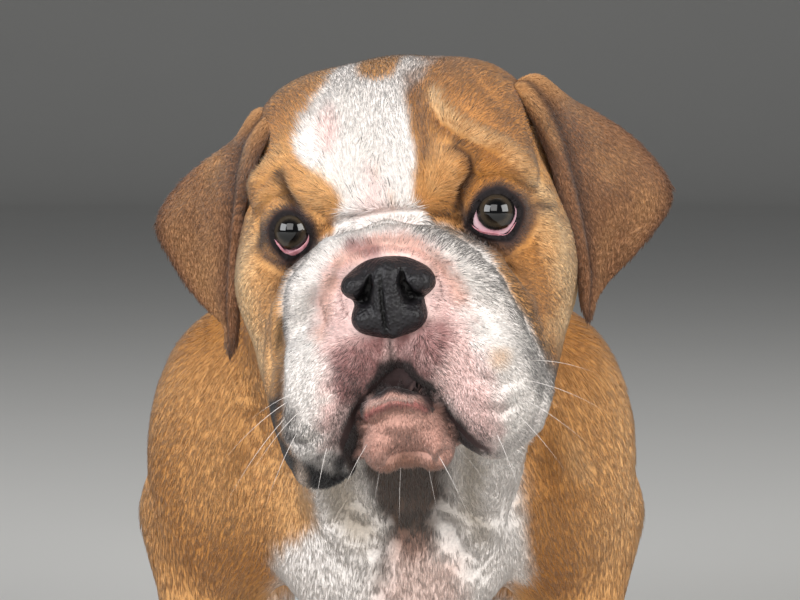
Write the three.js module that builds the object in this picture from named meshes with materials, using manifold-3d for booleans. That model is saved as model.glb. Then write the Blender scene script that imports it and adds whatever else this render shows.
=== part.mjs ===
// An English bulldog puppy of about four months, standing square on four paws.
// The head is held low, tilted and turned a little to the puppy's right.
// Millimetres, +Z up. It faces -Y, its left is +X, and its soles lie on Z = 0.

import * as THREE from "three";
import { mergeVertices } from "three/addons/utils/BufferGeometryUtils.js";
import Module from "manifold-3d";

const wasm = await Module();
wasm.setup();

// Driving dimensions
const GAP = 0.3;
const EYE_MIDPOINT = [1, -196, 247];
const HEAD_TURN_DEG = -6.3;
const HEAD_ROLL_DEG = -5.3;
const HEAD_HALF_WIDTH = 66.5;
const CROWN_Z = 63;
const EYE_SPACING = 76;
const EYE_DEPTH = 3;
const EYE_RADIUS = 10;
const LID_THICKNESS = 2.3;
const EYE_OPENING = [8.4, 8, 7.2];
const NOSE_HALF_WIDTH = 18;
const FLEW_BOTTOM_Z = -92;
const EAR_THICKNESS = 4.6;
const SHOULDER_HALF_WIDTH = 107;
const WITHERS_Z = 240;
const RUMP_Y = 170;
const BRISKET_Z = 70;
const FOREPAW = { x: 74, y: -52, halfWidth: 26 };
const HINDPAW = { x: 62, y: 128, halfWidth: 23 };
const TOES = [-1.5, -0.5, 0.5, 1.5];
const CLAW = { radius: 2.8, length: 15, height: 13, droopDeg: 138, bend: 0.018 };

// Colours, read as sRGB
const TAN = "#b9824a";
const WHITE = "#e8ddd6";
const PINK = "#c99a90";
const BROWN = "#7d4f35";
const BLACK = "#242326";
const HORN = "#3a3230";

const SIDES = [
  ["left", 1],
  ["right", -1],
];
const rad = THREE.MathUtils.degToRad;
const point = (p) => new THREE.Vector3(...p);

// How surfaces are found: rays and slopes are followed this far, this finely.
const FARTHEST_REACH = 190;
const REACH_STEPS = 900;
const STEP_SHARE = 0.8;
const SHORTEST_STEP = 0.05;
const ON_SURFACE = 0.01;
const SLOPE_STEP = 0.2;
const SLOPE_ROUNDS = 4;
const LARGEST_CORRECTION = 5;
const SETTLE_ROUNDS = 8;
const SETTLE_PULL = 0.5;

function softMin(a, b, k) {
  const h = Math.max(k - Math.abs(a - b), 0) / k;
  return Math.min(a, b) - (h * h * k) / 4;
}

// A form is built up in steps: each softly adds a rounded mass or presses in a furrow. at() is
// negative inside it.
class Form {
  constructor() {
    this.steps = [];
  }

  // An ellipsoid; turn is its rotation in degrees about X, Y and Z.
  ball(centre, radii, blend = 10, turn = [0, 0, 0]) {
    const euler = new THREE.Euler(...turn.map(rad));
    const back = new THREE.Matrix4().makeRotationFromEuler(euler).transpose();
    const c = point(centre);
    const [rx, ry, rz] = radii;
    const q = new THREE.Vector3();
    const distance = (p) => {
      q.copy(p).sub(c).applyMatrix4(back);
      const k0 = Math.hypot(q.x / rx, q.y / ry, q.z / rz);
      const k1 = Math.hypot(q.x / rx ** 2, q.y / ry ** 2, q.z / rz ** 2);
      return k1 < 1e-9 ? -Math.min(rx, ry, rz) : (k0 * (k0 - 1)) / k1;
    };
    this.steps.push({ blend, distance });
    return this;
  }

  // A tapering string of rounded links through stations given as [x, y, z, radius].
  string(stations, blend = 8) {
    this.steps.push({ blend, distance: stringDistance(stations) });
    return this;
  }

  // A rounded channel pressed in along stations given as [x, y, z, radius].
  furrow(stations, blend = 4) {
    this.steps.push({ blend, distance: stringDistance(stations), furrow: true });
    return this;
  }

  // A crease pressed into the front of the form along points given as [x, z, radius, depth].
  crease(path, blend = 4) {
    const from = new THREE.Vector3();
    const stations = path.map(([x, z, radius, depth]) => {
      from.set(x, -FARTHEST_REACH, z);
      let y = -FARTHEST_REACH;
      for (let i = 0; i < REACH_STEPS; i++) {
        const d = this.at(from.set(x, y, z));
        if (d < ON_SURFACE) break;
        y += d * STEP_SHARE;
        if (y > FARTHEST_REACH) throw new Error(`crease point ${x}, ${z} misses the form`);
      }
      return [x, y - radius + depth, z, radius];
    });
    return this.furrow(stations, blend);
  }

  // The same on both sides: make is called with 1 for the left and -1 for the right.
  both(make) {
    make(1);
    make(-1);
    return this;
  }

  at(p) {
    let d = this.steps[0].distance(p);
    for (const { blend, distance, furrow } of this.steps.slice(1)) {
      d = furrow ? -softMin(-d, distance(p), blend) : softMin(d, distance(p), blend);
    }
    return d;
  }
}

function stringDistance(stations) {
  const links = stations.slice(1).map((b, i) => {
    const a = stations[i];
    const from = new THREE.Vector3(a[0], a[1], a[2]);
    const along = new THREE.Vector3(b[0], b[1], b[2]).sub(from);
    return { from, along, length2: along.lengthSq(), ra: a[3], rb: b[3] };
  });
  const q = new THREE.Vector3();
  return (p) => {
    let d = Infinity;
    for (const link of links) {
      q.copy(p).sub(link.from);
      const t = THREE.MathUtils.clamp(q.dot(link.along) / link.length2, 0, 1);
      q.addScaledVector(link.along, -t);
      d = Math.min(d, q.length() - THREE.MathUtils.lerp(link.ra, link.rb, t));
    }
    return d;
  };
}

// Turns a list of stations to side s.
const mirrored = (s, stations) => stations.map(([x, ...rest]) => [s * x, ...rest]);

// How far along a ray from inside the form its outermost surface lies.
function reach(form, origin, direction) {
  const q = new THREE.Vector3();
  let r = FARTHEST_REACH;
  for (let i = 0; i < REACH_STEPS && r > 0; i++) {
    const d = form.at(q.copy(origin).addScaledVector(direction, r));
    if (d < ON_SURFACE / 2) return r;
    r -= Math.max(d * STEP_SHARE, SHORTEST_STEP);
  }
  throw new Error("a ray found no surface");
}

// Lays a sphere's grid round a spine and lets each point out along its ray to the form's surface.
// front and back are the shares of the grid, from pole to pole, that cover the spine's two ends.
function drape(form, { spine, grid, front = 0.35, back = 0.35, up = [0, 0, 1] }) {
  const curve = new THREE.CatmullRomCurve3(spine.map(point));
  const geometry = bare(grid);
  const { position } = geometry.attributes;
  const origin = new THREE.Vector3();
  for (let i = 0; i < position.count; i++) {
    const v = Math.acos(THREE.MathUtils.clamp(position.getY(i), -1, 1)) / Math.PI;
    let angle = Math.PI / 2;
    if (v < front) angle = (v / front) * (Math.PI / 2);
    if (v > 1 - back) angle = Math.PI - ((1 - v) / back) * (Math.PI / 2);
    const t = THREE.MathUtils.clamp((v - front) / (1 - front - back), 0, 1);
    curve.getPoint(t, origin);
    const forward = curve.getTangent(t).negate();
    const side = new THREE.Vector3().crossVectors(forward, point(up)).normalize();
    const rise = new THREE.Vector3().crossVectors(side, forward);
    const around = new THREE.Vector2(position.getX(i), position.getZ(i)).normalize();
    const direction = forward.clone().multiplyScalar(Math.cos(angle));
    direction.addScaledVector(side, around.x * Math.sin(angle));
    direction.addScaledVector(rise, around.y * Math.sin(angle));
    direction.normalize();
    origin.addScaledVector(direction, reach(form, origin, direction));
    position.setXYZ(i, origin.x, origin.y, origin.z);
  }
  const settled = settle(geometry, form);
  return { solid: solidOf(settled), room: solidOf(settled, null, GAP) };
}

// The geometry's shape alone, with the vertices along its seam and at its poles joined.
function bare(geometry) {
  const g = geometry.clone();
  g.deleteAttribute("normal");
  g.deleteAttribute("uv");
  return mergeVertices(g, 1e-3);
}

// Grids for draping: an even one, and one of rings and sides for long limbs.
const evenGrid = (detail) => new THREE.IcosahedronGeometry(1, detail);
const ringGrid = (rings, sides) => new THREE.SphereGeometry(1, sides, rings);

// Evens out a draped grid: each vertex moves towards the middle of its neighbours, then back to the
// form's surface.
function settle(geometry, form) {
  const { position } = geometry.attributes;
  const index = geometry.index.array;
  const neighbours = Array.from({ length: position.count }, () => new Set());
  for (let i = 0; i < index.length; i += 3) {
    for (const [a, b] of [[0, 1], [1, 2], [2, 0]]) {
      neighbours[index[i + a]].add(index[i + b]);
      neighbours[index[i + b]].add(index[i + a]);
    }
  }
  let points = neighbours.map((_, i) => new THREE.Vector3().fromBufferAttribute(position, i));
  for (let round = 0; round < SETTLE_ROUNDS; round++) {
    points = points.map((p, i) => {
      const middle = new THREE.Vector3();
      for (const j of neighbours[i]) middle.add(points[j]);
      middle.divideScalar(neighbours[i].size);
      return toSurface(form, middle.lerp(p, 1 - SETTLE_PULL));
    });
  }
  points.forEach((p, i) => position.setXYZ(i, p.x, p.y, p.z));
  return geometry;
}

// Steps a point along the form's slope until it lies on the surface.
function toSurface(form, p) {
  const h = SLOPE_STEP;
  const axes = [point([h, 0, 0]), point([0, h, 0]), point([0, 0, h])];
  const q = new THREE.Vector3();
  const difference = (a) => form.at(q.copy(p).add(a)) - form.at(q.copy(p).sub(a));
  for (let i = 0; i < SLOPE_ROUNDS; i++) {
    const d = form.at(p);
    if (Math.abs(d) < ON_SURFACE) break;
    const slope = point(axes.map((a) => difference(a) / (2 * h)));
    const correction = d / Math.max(slope.lengthSq(), 0.1);
    p.addScaledVector(slope, -THREE.MathUtils.clamp(correction, -LARGEST_CORRECTION, LARGEST_CORRECTION));
  }
  return p;
}

// Closes a geometry into a solid; grow moves its surface outwards.
function solidOf(geometry, matrix, grow = 0) {
  const merged = bare(geometry);
  if (matrix) merged.applyMatrix4(matrix);
  merged.computeVertexNormals();
  const { position, normal } = merged.attributes;
  for (let i = 0; i < position.count; i++) {
    position.setX(i, position.getX(i) + normal.getX(i) * grow);
    position.setY(i, position.getY(i) + normal.getY(i) * grow);
    position.setZ(i, position.getZ(i) + normal.getZ(i) * grow);
  }
  const solid = new wasm.Manifold(
    new wasm.Mesh({
      numProp: 3,
      vertProperties: new Float32Array(position.array),
      triVerts: new Uint32Array(merged.index.array),
    }),
  );
  return largest(solid);
}

// Keeps a node's one closed body, without any scrap that a cut leaves.
function largest(solid) {
  return solid.decompose().reduce((a, b) => (b.volume() > a.volume() ? b : a));
}

function cut(solid, ...tools) {
  return largest(tools.reduce((left, tool) => left.subtract(tool), solid));
}

function ellipsoid(centre, radii, segments) {
  const matrix = new THREE.Matrix4().makeTranslation(...centre).scale(point(radii));
  return solidOf(new THREE.SphereGeometry(1, segments, segments / 2), matrix);
}

// A thin plane cut through a point. front() is the side that the normal points to.
function partingPlane(normal, through) {
  const n = point(normal).normalize();
  const offset = n.dot(point(through));
  const reversed = n.clone().negate();
  return {
    front: (solid) => largest(solid.trimByPlane(n.toArray(), offset + GAP / 2)),
    back: (solid) => largest(solid.trimByPlane(reversed.toArray(), GAP / 2 - offset)),
  };
}

// The head's own frame: origin between the eyes, x to the puppy's left, y backwards, z up.
const headMatrix = new THREE.Matrix4()
  .makeTranslation(...EYE_MIDPOINT)
  .multiply(new THREE.Matrix4().makeRotationY(rad(HEAD_ROLL_DEG)))
  .multiply(new THREE.Matrix4().makeRotationZ(rad(HEAD_TURN_DEG)));
const onHead = (solid) => solid.transform(headMatrix.elements);
const headPoint = (p) => point(p).applyMatrix4(headMatrix).toArray();
const eyeCentre = (s) => [(s * EYE_SPACING) / 2, EYE_DEPTH, 0];

function headForm() {
  const form = new Form();
  const craniumHeight = 51;
  const cheekWidth = 27;
  form.ball([0, 46, CROWN_Z - craniumHeight], [58, 52, craniumHeight]);
  form.ball([0, 66, -14], [55, 40, 48], 14);
  form.ball([0, 18, -40], [44, 44, 30], 12);
  form.both((s) => form.ball([s * 29, 32, 34], [24, 38, 23], 12));
  const cheekX = HEAD_HALF_WIDTH - cheekWidth;
  form.both((s) => form.ball([s * cheekX, 33, -20], [cheekWidth, 35, 38], 14));
  form.both((s) => form.ball([s * 35, 14, -50], [22, 30, 30], 12));
  form.both((s) => form.ball([s * 33, 6, 19], [21, 14, 11], 14, [0, s * 14, 0]));
  form.both((s) => form.ball([s * 43, 12, -22], [17, 17, 16], 12));
  muzzle(form);
  wrinkles(form);
  const lid = EYE_RADIUS + LID_THICKNESS;
  form.both((s) => form.ball(eyeCentre(s), [lid, lid, lid], 4));
  return form;
}

// The upper muzzle, its two hanging flews, and the roll of skin that crosses above the nose.
function muzzle(form) {
  const flewHeight = 27;
  form.ball([0, -4, -30], [38, 28, 26], 8);
  form.both((s) => form.ball([s * 17, -22, -48], [17, 19, 15], 6));
  form.both((s) => form.ball([s * 27, -16, -60], [19, 24, 24], 7));
  form.both((s) => form.ball([s * 32, -10, FLEW_BOTTOM_Z + flewHeight], [18, 22, flewHeight], 7));
  form.both((s) => form.string(mirrored(s, NOSE_ROLL), 4));
  form.furrow([[0, -41, -40, 2.2], [0, -43, -52, 2.6]], 3);
}

const NOSE_ROLL = [
  [0, -23, -8, 9],
  [19, -22, -11, 9],
  [32, -16, -20, 9.5],
  [41, -9, -36, 9.5],
  [44, -4, -56, 9],
  [43, 0, -72, 8],
];

// Creases of the brow, stop, eye corners and cheeks, as [x, z, radius, depth].
function wrinkles(form) {
  const median = [[0, 12, 6, 1.6], [0, 28, 6, 1.6], [0, 46, 6, 0.8]];
  const stop = [[-28, 2, 4, 1.4], [0, 9, 6, 1.5], [28, 2, 4, 1.4]];
  const eyeCorner = [[25, 24, 4, 0.3], [22, 14, 4, 1.2], [24, 4, 4, 1.4]];
  const brow = [[7, 52, 4, 0.5], [18, 38, 4, 0.9], [34, 30, 4, 1], [48, 22, 4, 0.6]];
  const cheek = [[50, -12, 4, 0.8], [51, -30, 4, 1.6], [50, -50, 4, 2], [46, -66, 4, 1.4]];
  form.crease(median, 10);
  form.crease(stop, 8);
  form.both((s) => form.crease(mirrored(s, eyeCorner), 6));
  form.both((s) => form.crease(mirrored(s, brow), 6));
  form.both((s) => form.crease(mirrored(s, cheek), 8));
}

function jawForm() {
  const form = new Form();
  form.ball([0, -15, -77], [20, 23, 13]);
  form.ball([0, 18, -68], [32, 46, 21], 10);
  form.both((s) => form.ball([s * 9.5, -22, -80], [10, 15, 10.5], 3));
  form.string([[-14, -30, -71, 4], [0, -33, -66, 4.5], [14, -30, -71, 4]], 4);
  form.furrow([[0, -42, -84, 2], [0, -36, -92, 3]], 3);
  return form;
}

function noseForm() {
  const form = new Form();
  const wing = 9;
  form.ball([0, -27, -20], [NOSE_HALF_WIDTH - 3, 12, 10.5], 5);
  form.both((s) => form.ball([s * (NOSE_HALF_WIDTH - wing), -28, -24.5], [wing, 11, 9.5], 3));
  form.ball([0, -30, -33], [13.5, 10, 9.5], 4);
  const nostril = [[6, -42, -21, 2], [7, -39, -27, 3.2], [14, -38, -30, 1.8]];
  form.both((s) => form.furrow(mirrored(s, nostril), 1.5));
  form.furrow([[0, -43, -20, 1.2], [0, -42, -42, 1.4]], 2);
  return form;
}

// Each ear is a folded leaf. Its rows run from the front edge to the rear edge, and the middle of
// each stands away from the head, so that the leaf is cupped beneath.
const EAR_ROWS = [
  [[40, 44, 44], [50, 62, 38], [52, 72, 14]],
  [[50, 36, 52], [76, 50, 42], [90, 62, 16]],
  [[58, 28, 24], [84, 38, 8], [105, 54, 2]],
  [[65, 24, -44], [69, 28, -47], [75, 34, -42]],
];

// A disc's point [x, z] squared out to the leaf's own range, so that the corners are kept round.
function onLeaf(x, z) {
  const edge = Math.hypot(x, z);
  if (edge < 1e-9) return [0.5, 0.5];
  const square = edge / Math.max(Math.abs(x), Math.abs(z));
  const swell = 1 + (square - 1) * 0.75 * edge;
  const out = (Math.asin(Math.min(edge, 1)) / (Math.PI / 2) / edge) * swell;
  return [x, z].map((c) => THREE.MathUtils.clamp(0.5 + (c * out) / 2, 0, 1));
}

function ear(s) {
  const rows = EAR_ROWS.map((row) => mirrored(s, row).map(point));
  const columns = [0, 1, 2].map((j) => new THREE.CatmullRomCurve3(rows.map((row) => row[j])));
  const leaf = (a, b) => new THREE.CatmullRomCurve3(columns.map((c) => c.getPoint(a))).getPoint(b);
  const geometry = new THREE.SphereGeometry(1, 24, 12);
  const { position } = geometry.attributes;
  const step = 0.01;
  for (let i = 0; i < position.count; i++) {
    const [a, b] = onLeaf(position.getX(i), position.getZ(i));
    const along = leaf(Math.min(a + step, 1), b).sub(leaf(Math.max(a - step, 0), b));
    const across = leaf(a, Math.min(b + step, 1)).sub(leaf(a, Math.max(b - step, 0)));
    const normal = new THREE.Vector3().crossVectors(along, across).normalize();
    const y = position.getY(i);
    const half = (EAR_THICKNESS / 2) * (1 - 0.25 * a) * Math.sign(y) * Math.sqrt(Math.abs(y)) * s;
    const p = leaf(a, b).addScaledVector(normal, -half);
    position.setXYZ(i, p.x, p.y, p.z);
  }
  if (s < 0) geometry.index.array.reverse();
  return solidOf(geometry);
}

// The trunk, neck, shoulders and thighs as one form, later parted by thin cuts.
function trunkForm() {
  const form = new Form();
  form.ball([0, -8, 160], [80, 86, 74]);
  form.ball([0, -52, BRISKET_Z + 60], [62, 56, 60], 20);
  form.ball([0, -30, WITHERS_Z - 37], [60, 54, 37], 24);
  form.ball([0, 78, 182], [64, 74, 54], 24);
  form.ball([0, RUMP_Y - 48, 184], [66, 48, 50], 18);
  form.ball([2, -84, BRISKET_Z + 40], [50, 36, 42], 20);
  form.string([[...headPoint([0, 56, 4]), 56], [0, -74, 196, 64]], 24);
  form.string([[...headPoint([0, 36, -58]), 28], [4, -100, 140, 36]], 16);
  form.both((s) => {
    const armWidth = 38;
    form.ball([s * (SHOULDER_HALF_WIDTH - armWidth), -42, 138], [armWidth, 46, 68], 18, [12, 0, 0]);
    form.ball([s * 84, -14, 108], [22, 26, 28], 20);
    form.ball([s * 55, 114, 158], [35, 48, 60], 18, [-10, 0, 0]);
    form.ball([s * 62, 90, 124], [25, 28, 32], 24);
  });
  // The dewlap's two folds
  form.string([[...headPoint([-34, 20, -72]), 13], [-20, -116, 136, 16], [-14, -94, 104, 16]], 10);
  form.string([[...headPoint([34, 20, -72]), 13], [36, -116, 138, 16], [24, -94, 104, 16]], 10);
  return form;
}

function forelegForm(s) {
  const { x, y } = FOREPAW;
  const elbow = [s * 81, -28, 112, 30];
  const wrist = [s * 79, -32, 62, 22];
  return new Form().string([elbow, wrist, [s * x, y + 14, 22, 20]], 10);
}

function shinForm(s) {
  return new Form().string([[s * 66, 98, 118, 26], [s * 64, 146, 70, 14]], 8);
}

function hockForm(s) {
  const { x, y } = HINDPAW;
  return new Form().string([[s * 64, 146, 72, 13], [s * x, y + 12, 20, 15]], 8);
}

// Where a toe ends, and the way that it splays.
function toeTip({ x, y, halfWidth }, toe) {
  const tip = { x: x + toe * halfWidth * 0.5, y: y - halfWidth * (1.3 - Math.abs(toe) * 0.22) };
  return { ...tip, splay: toe * 0.2 };
}

function pawForm(foot) {
  const { x, y, halfWidth } = foot;
  const form = new Form();
  form.ball([x, y + 4, 14], [halfWidth * 0.92, halfWidth * 1.05, 18], 8);
  const toeRadius = halfWidth * 0.35;
  for (const toe of TOES) {
    const tip = toeTip(foot, toe);
    const knuckle = [x + toe * halfWidth * 0.34, y, 15, toeRadius];
    form.string([knuckle, [tip.x, tip.y + toeRadius, 10, toeRadius]], 3);
  }
  return form;
}

// A claw is a bent cone whose root is sunk in its toe.
function claw(foot, toe) {
  const tip = toeTip(foot, toe);
  const geometry = new THREE.ConeGeometry(CLAW.radius, CLAW.length, 7, 2);
  const { position } = geometry.attributes;
  for (let i = 0; i < position.count; i++) {
    const along = position.getY(i) + CLAW.length / 2;
    position.setZ(i, position.getZ(i) + along ** 2 * CLAW.bend);
  }
  const matrix = new THREE.Matrix4()
    .makeTranslation(tip.x, tip.y + 1, CLAW.height)
    .multiply(new THREE.Matrix4().makeRotationZ(tip.splay))
    .multiply(new THREE.Matrix4().makeRotationX(rad(-CLAW.droopDeg)));
  return solidOf(geometry, matrix);
}

const dog = new THREE.Group();

function add(name, solid, colour, roughness = 0.8) {
  const { numProp, numVert, vertProperties, triVerts } = solid.getMesh();
  const vertices = new Float32Array(numVert * 3);
  for (let i = 0; i < numVert; i++) {
    vertices.set(vertProperties.subarray(i * numProp, i * numProp + 3), i * 3);
  }
  const geometry = new THREE.BufferGeometry();
  geometry.setAttribute("position", new THREE.BufferAttribute(vertices, 3));
  geometry.setIndex(new THREE.BufferAttribute(new Uint32Array(triVerts), 1));
  geometry.computeVertexNormals();
  const material = new THREE.MeshStandardMaterial({ color: colour, roughness, metalness: 0 });
  const mesh = new THREE.Mesh(geometry, material);
  mesh.name = name;
  dog.add(mesh);
}

function socketTools(s) {
  const [x, y, z] = eyeCentre(s);
  const socket = EYE_RADIUS + GAP;
  return [
    ellipsoid([x, y, z], [socket, socket, socket], 16),
    ellipsoid([x, y - EYE_RADIUS, z - 0.5], EYE_OPENING, 20),
  ];
}

// The head ends at a plane that leans forward from the nape to the throat, and the neck at one that
// leans back from the brisket to the withers.
const NAPE_PLANE = partingPlane([0, -0.946, 0.324], headPoint([0, 72, 42]));
const NECK_PLANE = partingPlane([0, -0.92, 0.39], [0, -62, WITHERS_Z]);

const jaw = drape(jawForm(), {
  spine: [[0, -14, -72], [0, 30, -68]],
  grid: evenGrid(4),
  front: 0.5,
  back: 0.25,
});
const nose = drape(noseForm(), {
  spine: [[0, -28, -24], [0, -24, -24]],
  grid: evenGrid(5),
  front: 0.55,
  back: 0.25,
});
const wholeHead = drape(headForm(), {
  spine: [[0, 20, -18], [0, 44, -8]],
  grid: evenGrid(12),
  front: 0.6,
  back: 0.25,
});
const headRoom = onHead(wholeHead.room);
const head = onHead(cut(wholeHead.solid, jaw.room, nose.room, ...socketTools(1), ...socketTools(-1)));
add("head", NAPE_PLANE.front(head), TAN);
add("lower_jaw", NAPE_PLANE.front(onHead(jaw.solid)), PINK);
add("nose", onHead(nose.solid), BLACK, 0.45);
for (const [word, s] of SIDES) {
  const eyeball = ellipsoid(eyeCentre(s), [EYE_RADIUS, EYE_RADIUS, EYE_RADIUS], 16);
  add(`eye_${word}`, onHead(eyeball), BLACK, 0.1);
  add(`ear_${word}`, cut(onHead(ear(s)), headRoom), BROWN);
}

const trunk = drape(trunkForm(), {
  spine: [[0, -88, 172], [0, 20, 176], [0, 112, 184]],
  grid: evenGrid(10),
  front: 0.36,
  back: 0.2,
});

// The regions that part the limbs from the trunk: where one is, the limb is; a gap outside it, the trunk.
function limbRegion(s, grow) {
  return ellipsoid([s * 106, -40, 126], [60 + grow, 54 + grow, 86 + grow], 20);
}

function thighRegion(s, grow) {
  return ellipsoid([s * 94, 110, 146], [58 + grow, 56 + grow, 78 + grow], 20);
}

const body = NAPE_PLANE.back(trunk.solid);
let torso = NECK_PLANE.back(body);
let neck = NECK_PLANE.front(body);

function paw(foot) {
  const { x, y } = foot;
  const spine = [[x, y - 6, 12], [x, y + 10, 13]];
  return drape(pawForm(foot), { spine, grid: evenGrid(4), front: 0.6, back: 0.3 });
}

const legShape = { grid: ringGrid(8, 12), up: [0, -1, 0] };

function addLeg(name, upper, lower, foot) {
  const pad = paw(foot);
  const solid = [upper, ...lower, pad.solid].reduce((a, b) => a.add(b));
  add(name, largest(solid.trimByPlane([0, 0, 1], 0)), TAN);
  const clawName = name.replace(/(fore|hind)leg/, "claw_$1");
  TOES.forEach((toe, i) => {
    add(`${clawName}_${i + 1}`, cut(claw(foot, toe), pad.room), HORN, 0.4);
  });
}

for (const [word, s] of SIDES) {
  const limb = (form, ...spine) => drape(form, { ...legShape, spine });
  const shank = limb(forelegForm(s), [s * 80, -28, 100], [s * FOREPAW.x, -38, 26]);
  const shin = limb(shinForm(s), [s * 66, 100, 116], [s * 64, 144, 72]);
  const hock = limb(hockForm(s), [s * 64, 146, 68], [s * HINDPAW.x, 140, 22]);
  const forepaw = { ...FOREPAW, x: s * FOREPAW.x };
  const hindpaw = { ...HINDPAW, x: s * HINDPAW.x };
  addLeg(`foreleg_${word}`, torso.intersect(limbRegion(s, 0)), [shank.solid], forepaw);
  addLeg(`hindleg_${word}`, torso.intersect(thighRegion(s, 0)), [shin.solid, hock.solid], hindpaw);
  torso = cut(torso, limbRegion(s, GAP), thighRegion(s, GAP), shank.room, shin.room);
  neck = cut(neck, limbRegion(s, GAP), shank.room);
}
add("torso", torso, TAN);
add("neck", neck, WHITE);

const tailForm = new Form().string([[0, 148, 206, 15], [0, 172, 194, 11], [3, 182, 178, 7]], 6);
const tail = drape(tailForm, { spine: [[0, 154, 202], [1, 176, 186]], grid: ringGrid(10, 12) });
add("tail", cut(tail.solid, trunk.room), TAN);

const box = new THREE.Box3().setFromObject(dog);
const middle = box.getCenter(new THREE.Vector3());
dog.position.set(-middle.x, -middle.y, -box.min.z);

export default dog;
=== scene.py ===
"""An English bulldog puppy standing on four paws, its head low and tilted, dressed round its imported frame.

Metres, +Z up; it faces -Y and its left is +X. Shapes are worked out in millimetres: the body's own
frame is the world moved by one offset, and the head's has its origin between the eyes, with x to the
puppy's left, y backwards and z up.
"""

import logging
import math
from contextlib import contextmanager
from dataclasses import dataclass, field
from enum import Enum
from typing import Callable, Iterator, Sequence

import bmesh
import bpy
import numpy as np
from mathutils import Matrix, Vector


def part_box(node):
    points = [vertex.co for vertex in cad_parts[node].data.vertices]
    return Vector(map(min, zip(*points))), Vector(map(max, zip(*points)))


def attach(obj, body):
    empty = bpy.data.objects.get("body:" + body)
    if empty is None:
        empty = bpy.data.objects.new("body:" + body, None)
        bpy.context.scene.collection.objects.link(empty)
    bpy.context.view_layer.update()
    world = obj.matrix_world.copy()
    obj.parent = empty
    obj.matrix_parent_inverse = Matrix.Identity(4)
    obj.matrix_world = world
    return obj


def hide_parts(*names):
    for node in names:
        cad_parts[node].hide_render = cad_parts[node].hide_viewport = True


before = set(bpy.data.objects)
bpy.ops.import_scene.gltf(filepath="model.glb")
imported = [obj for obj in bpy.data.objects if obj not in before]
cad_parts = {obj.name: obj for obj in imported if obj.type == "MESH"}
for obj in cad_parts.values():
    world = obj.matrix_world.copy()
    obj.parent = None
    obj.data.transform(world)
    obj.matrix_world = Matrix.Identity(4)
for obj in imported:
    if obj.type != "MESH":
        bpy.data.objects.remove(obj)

LOG = logging.getLogger("puppy")
MM = 0.001
SEED = 20
SIDES = (("left", 1), ("right", -1))
BODY = "root"
MERGE_DISTANCE = 1e-6

Array = np.ndarray
Points = np.ndarray
Station = Sequence[float]
Line = tuple[tuple[float, float], ...]
Mesh = bpy.types.Mesh
Piece = bpy.types.Object
Material = bpy.types.Material
Tree = bpy.types.NodeTree
Node = bpy.types.Node
Socket = bpy.types.NodeSocket


def rotation(turn_deg: Sequence[float]) -> Array:
    """A rotation matrix from turns about X, Y and Z.

    Args:
        turn_deg: The three turns in degrees; the one about Z is made first.

    Returns:
        A 3 by 3 matrix.
    """
    x, y, z = (math.radians(a) for a in turn_deg)
    return np.array(Matrix.Rotation(x, 3, "X") @ Matrix.Rotation(y, 3, "Y") @ Matrix.Rotation(z, 3, "Z"))


def smoothstep(low: float, high: float, value: Array) -> Array:
    """A soft step from 0 at low to 1 at high.

    Args:
        low: Where the step starts.
        high: Where it ends; it may lie below low.
        value: The numbers to grade.

    Returns:
        Weights between 0 and 1.
    """
    t = np.clip((value - low) / (high - low), 0.0, 1.0)
    return t * t * (3.0 - 2.0 * t)


def soft_min(a: Array, b: Array, blend: float) -> Array:
    """The smaller of two distances, rounded where they meet.

    Args:
        a: First distances.
        b: Second distances.
        blend: How wide the rounding is.

    Returns:
        The blended distances.
    """
    h = np.maximum(blend - np.abs(a - b), 0.0) / blend
    return np.minimum(a, b) - h * h * blend / 4.0


def unit(vectors: Array) -> Array:
    """Vectors brought to length one.

    Args:
        vectors: Rows of three numbers.

    Returns:
        The rows at unit length.
    """
    return vectors / np.maximum(np.linalg.norm(vectors, axis=-1, keepdims=True), 1e-9)


def mirrored(side: int, stations: Sequence[Station]) -> list[list[float]]:
    """Turns stations to one side of the body.

    Args:
        side: 1 for the left, -1 for the right.
        stations: Rows that start with x.

    Returns:
        The same rows with x times side.
    """
    return [[side * s[0], *s[1:]] for s in stations]


def noise(points: Points, size: float, seed: int = 0) -> Array:
    """Smooth noise in space.

    Args:
        points: Where it is read.
        size: The width of one swell, in the points' unit.
        seed: Which of many patterns.

    Returns:
        Values between 0 and 1.
    """
    scaled = points / size + 1000.0
    cell = np.floor(scaled).astype(np.int64)
    t = scaled - cell
    t = t * t * (3.0 - 2.0 * t)
    total = np.zeros(len(points))
    for corner in np.ndindex(2, 2, 2):
        at = cell + np.array(corner)
        key = (at[:, 0] * 73856093) ^ (at[:, 1] * 19349663) ^ (at[:, 2] * 83492791) ^ (seed * 2654435761)
        key = (key ^ (key >> 13)) * 1274126177 & 0xFFFFFFFF
        value = ((key ^ (key >> 16)) & 0xFFFF) / 65535.0
        weight = np.ones(len(points))
        for axis, side in enumerate(corner):
            weight *= t[:, axis] if side else 1.0 - t[:, axis]
        total += weight * value
    return total


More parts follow.
